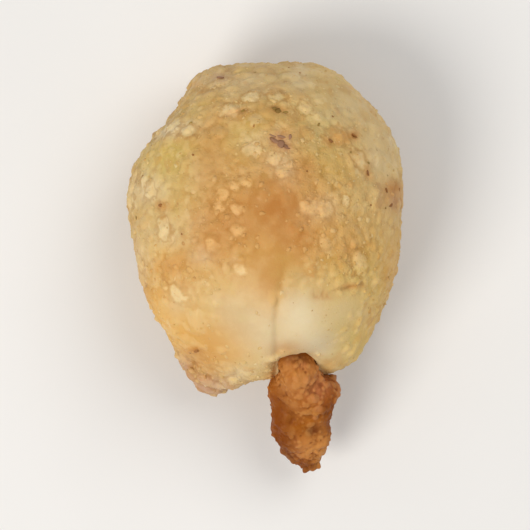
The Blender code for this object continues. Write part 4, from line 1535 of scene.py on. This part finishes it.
def fleck_piece(name, seed, marked, scattered, sizes):
    """Thin flakes of one kind: some where they are marked, and some at random."""
    draws = np.random.default_rng(seed)
    points, facing = crust_places(crust, scattered * FLECK_TRIES, draws)
    wanted = draws.uniform(size=len(points)) < coat(points) ** 2 * (points[:, 2] > FLECKS_ABOVE)
    points, facing = points[wanted][:scattered], facing[wanted][:scattered]
    widths = draws.uniform(*sizes, len(points))
    for x, y, width in marked:
        direction, point = skin_seen_from_above(x * MM, y * MM)
        points = np.concatenate([points, crust_over(point, direction)[None]])
        facing = np.concatenate([facing, direction[None]])
        widths = np.append(widths, width * MM)
    return laid_piece(name, points, facing, widths, draws, FLECK_FINENESS, **FLECK_LIE)


herbs = fleck_piece("herb_flecks", 71, HERB_FLECKS, scattered=12, sizes=(0.25 * MM, 0.5 * MM))
pepper = fleck_piece("pepper_flecks", 72, PEPPER_FLECKS, scattered=16, sizes=(0.25 * MM, 0.55 * MM))
onion = fleck_piece("onion_flecks", 73, ONION_FLECKS, scattered=0, sizes=(0.3 * MM, 0.7 * MM))

# %% [markdown]
# ## Materials
#
# Each material is a Principled shader whose colour, roughness and relief come from the masks
# on the mesh and from noise in the object's own coordinates. What more than one material
# needs is a node group: ragged patches, clouds, baked dough, shades of cheese, fine relief.

# %% Helpers for node trees
def colour(red, green, blue):
    """A colour given in 0 to 255, as the linear numbers that shaders use."""
    shares = np.array([red, green, blue]) / 255.0
    linear = np.where(shares > 0.04045, ((shares + 0.055) / 1.055) ** 2.4, shares / 12.92)
    return (*linear.tolist(), 1.0)


def place(tree, kind, inputs=None, **settings):
    """Add a node, choose its settings, and give its inputs values or links."""
    node = tree.nodes.new(kind)
    for name, value in settings.items():
        setattr(node, name, value)
    for name, value in (inputs or {}).items():
        if isinstance(value, bpy.types.NodeSocket):
            tree.links.new(value, node.inputs[name])
        else:
            node.inputs[name].default_value = value
    return node


def sums(tree, operation, first, second, third=0.0, clamp=False):
    """One step of arithmetic on numbers or sockets."""
    inputs = {0: first, 1: second, 2: third}
    return place(tree, "ShaderNodeMath", inputs, operation=operation, use_clamp=clamp).outputs[0]


def ramp(tree, value, low, high, to_low=0.0, to_high=1.0):
    """value mapped from low..high to to_low..to_high with an S-shaped change."""
    inputs = {"Value": value, "From Min": low, "From Max": high, "To Min": to_low, "To Max": to_high}
    node = place(tree, "ShaderNodeMapRange", inputs, interpolation_type="SMOOTHSTEP")
    return node.outputs["Result"]


def blend(tree, share, first, second):
    """Two colours mixed by a share."""
    node = place(tree, "ShaderNodeMix", data_type="RGBA", clamp_factor=True)
    for name, value in (("Factor_Float", share), ("A_Color", first), ("B_Color", second)):
        socket = next(item for item in node.inputs if item.identifier == name)
        if isinstance(value, bpy.types.NodeSocket):
            tree.links.new(value, socket)
        else:
            socket.default_value = value
    return next(item for item in node.outputs if item.identifier == "Result_Color")


print("middle grey in the shaders' numbers:", round(colour(128, 128, 128)[0], 3))

# %% Masks and noise in a node tree
def mask(tree, name):
    """A mask stored on the mesh."""
    return place(tree, "ShaderNodeAttribute", attribute_name=name).outputs["Fac"]


def speckle(tree, scale, detail=3.0, roughness=0.55):
    """Noise between 0 and 1 in the object's own coordinates, its scale in lumps to the metre."""
    where = place(tree, "ShaderNodeTexCoord").outputs["Object"]
    inputs = {"Vector": where, "Scale": scale, "Detail": detail, "Roughness": roughness}
    return place(tree, "ShaderNodeTexNoise", inputs).outputs["Fac"]


def tinted(tree, base, shade, name, span, strongest, where=None):
    """A colour drawn towards a shade where a stored mask rises through a span."""
    strength = ramp(tree, mask(tree, name), *span, 0.0, strongest)
    if where is not None:
        strength = sums(tree, "MULTIPLY", strength, where)
    return blend(tree, strength, base, shade)


def left_by(tree, name, span, left):
    """1 where a stored mask is below a span, falling to what is left above it."""
    return ramp(tree, mask(tree, name), *span, 1.0, left)


# %% Make and use node groups
NUMBER = 0.0
COLOUR = (0.8, 0.8, 0.8, 1.0)  # what a colour input holds until it is given one


def add_socket(tree, name, value, way):
    """Give a group a socket for a number or a colour, told by its first value."""
    kind = "NodeSocketColor" if isinstance(value, tuple) else "NodeSocketFloat"
    tree.interface.new_socket(name, in_out=way, socket_type=kind).default_value = value


def new_group(name, inputs, output="Colour", value=COLOUR):
    """An empty node group, the sockets that it takes, and the one that it gives."""
    tree = bpy.data.node_groups.new(name, "ShaderNodeTree")
    for label, first_value in inputs.items():
        add_socket(tree, label, first_value, "INPUT")
    add_socket(tree, output, value, "OUTPUT")
    return tree, tree.nodes.new("NodeGroupInput").outputs, tree.nodes.new("NodeGroupOutput").inputs[output]


def use_group(tree, group, inputs):
    """The outputs of a node group that is given its inputs."""
    return place(tree, "ShaderNodeGroup", inputs, node_tree=group).outputs


# %% [markdown]
# ### Ragged patches
#
# A browned patch never has a clean edge. Noise is added to its mask wherever the patch
# reaches, so it breaks into freckles at its rim, and the colour that comes in is turned
# towards the patch's own.

# %% Group: ragged patch
FRECKLES = 900.0  # lumps to the metre, so one every millimetre or so
NOISE_COMES_IN = 4.0  # how steeply noise comes in with the mask: in full from a quarter on
patch_inputs = {"Colour": COLOUR, "Towards": COLOUR, "Mask": NUMBER, "Raggedness": 0.5, "Grain": FRECKLES}
ragged_patch, taken, given = new_group("ragged_patch", patch_inputs)
freckles = speckle(ragged_patch, taken["Grain"], roughness=0.6)
swing = sums(ragged_patch, "MULTIPLY", sums(ragged_patch, "SUBTRACT", freckles, 0.5), taken["Raggedness"])
reached = sums(ragged_patch, "MULTIPLY_ADD", taken["Mask"], NOISE_COMES_IN, 0.0, clamp=True)
torn = sums(ragged_patch, "MULTIPLY_ADD", swing, reached, taken["Mask"], clamp=True)
ragged_patch.links.new(blend(ragged_patch, torn, taken["Colour"], taken["Towards"]), given)


def lay_patches(tree, base, layers):
    """Ragged patches over a colour. Each layer: its mask, its colour and its raggedness."""
    for strength, towards, raggedness in layers:
        inputs = {"Colour": base, "Towards": towards, "Mask": strength, "Raggedness": raggedness}
        base = use_group(tree, ragged_patch, inputs)["Colour"]
    return base


print("nodes in the ragged patch:", len(ragged_patch.nodes))

# %% [markdown]
# ### Clouds
#
# Dough and cheese are never one even colour. Soft spots of a second shade come from noise
# alone, cut between two of its levels: close together they give sharp spots, and far apart
# a haze. Painted spots would need a picture.

# %% Group: clouds
cloud_inputs = {"Colour": COLOUR, "Towards": COLOUR, "Scale": FRECKLES, "From": 0.4, "To": 0.6}
cloud_inputs["Strongest"] = 1.0
clouds, taken, given = new_group("clouds", cloud_inputs)
spread = ramp(clouds, speckle(clouds, taken["Scale"]), taken["From"], taken["To"], 0.0, taken["Strongest"])
clouds.links.new(blend(clouds, spread, taken["Colour"], taken["Towards"]), given)


def lay_clouds(tree, base, layers):
    """Clouds over a colour. Each layer: how far apart, levels of noise, how strong, and its shade."""
    for every, (low, high), strongest, towards in layers:
        inputs = {"Colour": base, "Towards": towards, "Scale": 1.0 / every}
        inputs.update({"From": low, "To": high, "Strongest": strongest})
        base = use_group(tree, clouds, inputs)["Colour"]
    return base


print("nodes in the clouds:", len(clouds.nodes))

# %% [markdown]
# ### What the oven did to the dough
#
# Under everything is the dough itself: a mottled pale gold, tinted by the oven's patches,
# white where it stretched, and brown with ragged edges. The crumbs melted into the same
# dough, so their materials start from the same group.

# %% Group: baked dough
PALE_DOUGH = colour(216, 183, 122)
DOUGH_CLOUDS = (
    (4.5 * MM, (0.38, 0.62), 1.0, colour(192, 151, 82)),  # tan
    (3.1 * MM, (0.50, 0.66), 0.6, colour(200, 170, 92)),  # olive
    (1.8 * MM, (0.48, 0.70), 0.5, colour(194, 144, 76)),  # blotches
)
# What each mask turns the dough to, in the order in which they are laid, and how ragged they are.
OVEN_SHADES = {
    "Yellow": (colour(222, 190, 100), 0.4),
    "Olive": (colour(200, 178, 98), 0.4),
    "Gold": (colour(226, 172, 86), 0.4),
    "Pink": (colour(184, 134, 102), 0.5),
    "White": (colour(223, 205, 166), 0.25),
    "Brown": (colour(184, 120, 50), 0.35),
}

baked_dough, taken, given = new_group("baked_dough", dict.fromkeys(OVEN_SHADES, NUMBER))
mottled = lay_clouds(baked_dough, PALE_DOUGH, DOUGH_CLOUDS)
layers = [(taken[name], towards, raggedness) for name, (towards, raggedness) in OVEN_SHADES.items()]
baked_dough.links.new(lay_patches(baked_dough, mottled, layers), given)


def dough_colour(tree):
    """The baked dough's colour for a piece that carries the oven's masks."""
    return use_group(tree, baked_dough, {name: mask(tree, name.lower()) for name in OVEN_SHADES})["Colour"]


print("masks that the dough takes:", list(OVEN_SHADES))

# %% [markdown]
# ### Shades of cheese
#
# No two grains of grated cheese are the same: most are cream, some yellow, and a few were
# toasted. A grain's tone, one number for all of it, picks its shade from a ramp, and where
# the oven browned the crust the shade goes to honey. What lies under it shows through by a
# share, as it does in melted cheese.

# %% Group: cheese shade
CREAM = colour(238, 214, 162)
BUTTER = colour(228, 194, 132)
STRAW = colour(214, 176, 108)
AMBER = colour(206, 152, 82)
TOAST = colour(172, 116, 60)
HONEY = colour(236, 184, 114)
TONE_SHADES = ((0.3, BUTTER), (0.72, STRAW), (0.93, AMBER))  # tone and shade, between cream and toast
HONEYED = (0.1, 0.7, 0.0, 0.85)  # brown mask from and to, and the share of honey that they bring

shade_inputs = {"Under": COLOUR, "Tone": 0.5, "Toasted": NUMBER, "Share": 0.5}
cheese_shade, taken, given = new_group("cheese_shade", shade_inputs)
shades = place(cheese_shade, "ShaderNodeValToRGB", {"Fac": taken["Tone"]})
stops = shades.color_ramp.elements
stops[0].color = CREAM
stops[1].color = TOAST
for tone, shade in TONE_SHADES:
    stops.new(tone).color = shade
honeyed = ramp(cheese_shade, taken["Toasted"], *HONEYED)
shade = blend(cheese_shade, honeyed, shades.outputs["Color"], HONEY)
shown = blend(cheese_shade, taken["Share"], taken["Under"], shade)
cheese_shade.links.new(shown, given)


def shade_of_cheese(tree, under, share):
    """The shade of a grain by its tone, over the colour of the dough under it."""
    inputs = {"Under": under, "Tone": mask(tree, "tone"), "Toasted": mask(tree, "brown"), "Share": share}
    return use_group(tree, cheese_shade, inputs)["Colour"]


print("shades of cheese:", len(stops) + 1)

# %% [markdown]
# ### Fine relief
#
# Baked dough and cheese have a relief that is too fine for the mesh: pores, wrinkles and
# the bite of the grater. Two noises of different size give a height, and a Bump node in the
# material turns the height into shading.

# %% Group: fine relief
relief_inputs = {"Wrinkle every": 1.0 * MM, "Pore every": 0.3 * MM, "Pore share": 0.4}
fine_relief, taken, given = new_group("fine_relief", relief_inputs, "Height", NUMBER)
heights = [
    speckle(fine_relief, sums(fine_relief, "DIVIDE", 1.0, taken[label]), detail, roughness=0.6)
    for label, detail in (("Wrinkle every", 4.0), ("Pore every", 2.0))
]
together = sums(fine_relief, "MULTIPLY_ADD", heights[1], taken["Pore share"], heights[0])
fine_relief.links.new(together, given)


def add_relief(tree, shader, strength, depth, wrinkle, pore, pore_share=0.4, where=None):
    """Give a shader the fine relief, its depth in metres, by a mask if there is one."""
    values = {"Wrinkle every": wrinkle, "Pore every": pore, "Pore share": pore_share}
    height = use_group(tree, fine_relief, values)["Height"]
    if where is not None:
        height = sums(tree, "MULTIPLY", height, where)
    bump = place(tree, "ShaderNodeBump", {"Strength": strength, "Distance": depth, "Height": height})
    tree.links.new(bump.outputs["Normal"], shader.inputs["Normal"])


print("groups:", [group.name for group in bpy.data.node_groups])

# %% [markdown]
# ### Every food
#
# All of it is moist food: it bends light like fat or starch, shines only weakly, and lets
# light sink in a little, red the deepest. Each material starts from that and adds its own.

# %% A food material to start from
FOOD_IOR = 1.45
FOOD_SPECULAR = 0.3
LIGHT_SINKS_IN = (1.0, 0.6, 0.3)  # how far red, green and blue get, side by side
DRIFT = (0.3, 0.7)  # levels of noise between which the roughness goes from one value to the other


def food_material(name, roughness, soft=0.0, soft_reach=0.0012, shine=0.0, shine_roughness=0.3):
    """A Principled material, its tree and its shader, with light that sinks in a little."""
    material = bpy.data.materials.new(name)
    material.use_nodes = True
    tree = material.node_tree
    shader = tree.nodes["Principled BSDF"]
    shader.inputs["Roughness"].default_value = roughness
    shader.inputs["IOR"].default_value = FOOD_IOR
    shader.inputs["Specular IOR Level"].default_value = FOOD_SPECULAR
    shader.inputs["Subsurface Weight"].default_value = soft
    shader.inputs["Subsurface Radius"].default_value = LIGHT_SINKS_IN
    shader.inputs["Subsurface Scale"].default_value = soft_reach
    shader.inputs["Coat Weight"].default_value = shine
    shader.inputs["Coat Roughness"].default_value = shine_roughness
    return material, tree, shader


def vary_roughness(tree, shader, every, smoothest, roughest):
    """Let the roughness drift between two values over the piece."""
    drift = ramp(tree, speckle(tree, 1.0 / every), *DRIFT, smoothest, roughest)
    tree.links.new(drift, shader.inputs["Roughness"])


def wear(piece, material, replaced=()):
    """Give a piece its material, and say which solid it rides on and stands for."""
    piece.data.materials.clear()
    piece.data.materials.append(material)
    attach(piece, "root")
    for node in replaced:
        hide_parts(node)


# %% [markdown]
# ### Crust
#
# Baked dough, with the melted crumbs in their own shades over it, and painted shade in the
# hollows between them and round their feet. A chip that stands out is broken up by noise,
# so that dough shows through its cheese here and there.

# %% Material: crust
TORN_PINK = colour(184, 131, 104)
HOLLOW_SHADE_CRUST = colour(168, 118, 56)
FOOT_SHADE_CRUST = colour(176, 126, 60)
STEAMED_DOUGH = colour(226, 196, 140)
BROWN_SPAN = (0.2, 0.9)  # of the brown mask, over which crumbs lose their own shade
CRUMB_KEEPS = 0.35  # share of it that a melted crumb keeps where the crust is brownest
CHIP_KEEPS = 0.75
CHIP_BROKEN_EVERY = 1.1 * MM
CHIP_BROKEN = (0.36, 0.60, 0.5, 0.95)  # levels of noise from and to, and the share of cheese at each
COAT_SPAN = (0.0, 1.0)
SMOOTH_KEEPS = 0.3  # how much of the fine relief is left where the crust has no coat
MASK_SPAN = (0.1, 0.9)  # of the hollow and foot masks, over which their painted shade darkens the crust
PINK_SPAN = (0.2, 1.0)
CRUST_RELIEF = {"strength": 0.9, "depth": 0.2 * MM, "wrinkle": 0.9 * MM, "pore": 0.28 * MM, "pore_share": 0.6}


def make_crust_material():
    """The crust's material, from every mask that is stored on it."""
    material, tree, shader = food_material("baked_crust", roughness=0.5, soft=0.15)
    coated = mask(tree, "coat")
    melted = sums(tree, "MULTIPLY", mask(tree, "crumb"), left_by(tree, "brown", BROWN_SPAN, CRUMB_KEEPS))
    broken = ramp(tree, speckle(tree, 1.0 / CHIP_BROKEN_EVERY), *CHIP_BROKEN)
    broken = sums(tree, "MULTIPLY", broken, left_by(tree, "brown", BROWN_SPAN, CHIP_KEEPS))
    standing = sums(tree, "MULTIPLY", mask(tree, "chip"), broken)
    base = shade_of_cheese(tree, dough_colour(tree), sums(tree, "MAXIMUM", melted, standing))
    base = tinted(tree, base, TORN_PINK, "pink", PINK_SPAN, strongest=0.5)
    # Painted shade in the hollows and round the crumbs' feet.
    base = tinted(tree, base, HOLLOW_SHADE_CRUST, "hollow", MASK_SPAN, strongest=0.75, where=coated)
    base = tinted(tree, base, FOOT_SHADE_CRUST, "foot", MASK_SPAN, strongest=0.5, where=coated)
    base = blend(tree, mask(tree, "inside"), base, STEAMED_DOUGH)
    tree.links.new(base, shader.inputs["Base Color"])
    vary_roughness(tree, shader, every=2.2 * MM, smoothest=0.46, roughest=0.64)
    rough = ramp(tree, coated, *COAT_SPAN, SMOOTH_KEEPS, 1.0)
    add_relief(tree, shader, **CRUST_RELIEF, where=rough)
    return material


wear(crust, make_crust_material(), ["dough"])
print("the crust wears:", crust.data.materials[0].name)

# %% [markdown]
# ### Grated cheese
#
# Grains and dust share one material. Their tones make them differ, and the dough under them
# shows through by a half or so.

# %% Material: grated cheese
GRAIN_COVERS = (0.2, 0.8, 0.55, 0.35)  # brown mask from and to, and the share of its own shade at each
GRAIN_CLOUDS = ((0.5 * MM, (0.4, 0.75), 0.2, AMBER),)
GRAIN_RELIEF = {"strength": 0.6, "depth": 0.10 * MM, "wrinkle": 0.4 * MM, "pore": 0.15 * MM}


def make_cheese_material():
    """The grains' material: their own shade over the dough's, a little cloudy."""
    material, tree, shader = food_material("grated_cheese", roughness=0.52, soft=0.15, soft_reach=0.8 * MM)
    share = ramp(tree, mask(tree, "brown"), *GRAIN_COVERS)
    base = lay_clouds(tree, shade_of_cheese(tree, dough_colour(tree), share), GRAIN_CLOUDS)
    tree.links.new(base, shader.inputs["Base Color"])
    add_relief(tree, shader, **GRAIN_RELIEF)
    return material


grated_cheese = make_cheese_material()
for piece in (grains, dust):
    wear(piece, grated_cheese)
print("grains and dust wear:", grated_cheese.name)

# %% [markdown]
# ### Browned filling
#
# Cheese that ran onto hot metal goes from orange to a deep brown, with reddish grainy lumps
# and scorched edges. It stays a little oily, so it has a thin coat over a rougher body. Its
# bumps get a painted highlight, and its pits and hollows get painted shade.

# %% Material: browned filling
CRUSTED_CHEESE = colour(172, 100, 26)
CRUSTED_CLOUDS = (
    (2.4 * MM, (0.36, 0.64), 1.0, colour(146, 76, 12)),  # darker
    (0.9 * MM, (0.5, 0.75), 0.5, colour(194, 124, 46)),  # lighter
)
# What each mask turns it to, in the order in which they are laid, and how ragged they are.
FILLING_SHADES = {
    "red": (colour(172, 101, 60), 0.4),
    "pale": (colour(200, 135, 70), 0.5),
    "dark": (colour(128, 62, 0), 0.4),
    "burnt": (colour(92, 42, 10), 0.5),
}
GRAIN_HIGHLIGHT = colour(206, 144, 78)
PIT_SHADE = colour(112, 56, 14)
HOLLOW_SHADE_FILLING = colour(116, 58, 16)
MELTED_CHEESE = colour(226, 160, 70)
GRAIN_SPAN = (0.55, 1.0)  # of the grain mask, over which bumps get a painted highlight
PIT_SPAN = (0.40, 0.0)  # and over which pits get painted shade, downwards
DARK_SPAN = (0.2, 0.8)  # of the dark mask, over which the painted highlight on the bumps fades out
DARK_KEEPS = 0.2
OILY_SPECULAR = 0.1  # less than a food's own, because the thin coat does the shining
FILLING_RELIEF = {"strength": 0.4, "depth": 0.12 * MM, "wrinkle": 0.6 * MM, "pore": 0.22 * MM}


def make_filling_material():
    """The filling's material: browned and grainy outside, smooth and orange inside, with painted highlights
    on its bumps and painted shade in its pits and hollows.
    """
    material, tree, shader = food_material(
        "browned_cheese", roughness=0.5, soft=0.10, shine=0.03, shine_roughness=0.35
    )
    shader.inputs["Specular IOR Level"].default_value = OILY_SPECULAR
    layers = [(mask(tree, name), shade, raggedness) for name, (shade, raggedness) in FILLING_SHADES.items()]
    base = lay_patches(tree, lay_clouds(tree, CRUSTED_CHEESE, CRUSTED_CLOUDS), layers)
    lit = left_by(tree, "dark", DARK_SPAN, DARK_KEEPS)
    # Painted highlight on the bumps, and painted shade in the pits and the hollows.
    base = tinted(tree, base, GRAIN_HIGHLIGHT, "grain", GRAIN_SPAN, strongest=0.4, where=lit)
    base = tinted(tree, base, PIT_SHADE, "grain", PIT_SPAN, strongest=0.3)
    base = tinted(tree, base, HOLLOW_SHADE_FILLING, "hollow", MASK_SPAN, strongest=0.4)
    base = blend(tree, mask(tree, "melted"), base, MELTED_CHEESE)
    tree.links.new(base, shader.inputs["Base Color"])
    vary_roughness(tree, shader, every=1.2 * MM, smoothest=0.40, roughest=0.6)
    add_relief(tree, shader, **FILLING_RELIEF)
    return material


wear(filling, make_filling_material(), ["filling"])
print("the filling wears:", filling.data.materials[0].name)

# %% [markdown]
# ### Flecks
#
# Dried herb, pepper and onion are matt and opaque. Each kind runs between a lighter and a
# darker shade, and a flake's tone says where it lies between them.

# %% Materials: flecks
FLECK_RELIEF = {"strength": 0.3, "depth": 0.06 * MM, "wrinkle": 0.4 * MM, "pore": 0.15 * MM}


def make_fleck_material(name, light, dark):
    """A kind of fleck, each flake between a light and a dark shade by its tone."""
    material, tree, shader = food_material(name, roughness=0.55)
    tree.links.new(blend(tree, mask(tree, "tone"), light, dark), shader.inputs["Base Color"])
    add_relief(tree, shader, **FLECK_RELIEF)
    return material


wear(herbs, make_fleck_material("dried_herb", colour(166, 136, 66), colour(140, 106, 46)))
wear(pepper, make_fleck_material("dried_pepper", colour(168, 114, 56), colour(140, 90, 42)))
wear(onion, make_fleck_material("dried_onion", colour(170, 128, 96), colour(148, 106, 76)))
print("flecks wear:", [piece.data.materials[0].name for piece in (herbs, pepper, onion)])

# %% [markdown]
# ## The table
#
# A plain pale floor, large enough that its edge stays out of every view.

# %% Floor
FLOOR_SIZE = 3.0
FLOOR_ROUGHNESS = 0.7
FLOOR_WHITE = colour(236, 234, 230)
FLOOR_CLOUDS = ((0.08, (0.3, 0.7), 1.0, colour(232, 230, 226)),)


def make_floor():
    """A square floor at height 0, which is a stage for the part and not one of its pieces."""
    corners = np.array([(-0.5, -0.5, 0.0), (0.5, -0.5, 0.0), (0.5, 0.5, 0.0), (-0.5, 0.5, 0.0)]) * FLOOR_SIZE
    floor = new_piece("floor", corners, np.array([(0, 1, 2), (0, 2, 3)]))
    material, tree, shader = food_material("pale_table", FLOOR_ROUGHNESS)
    tree.links.new(lay_clouds(tree, FLOOR_WHITE, FLOOR_CLOUDS), shader.inputs["Base Color"])
    floor.data.materials.append(material)
    print("floor in metres:", FLOOR_SIZE)


make_floor()
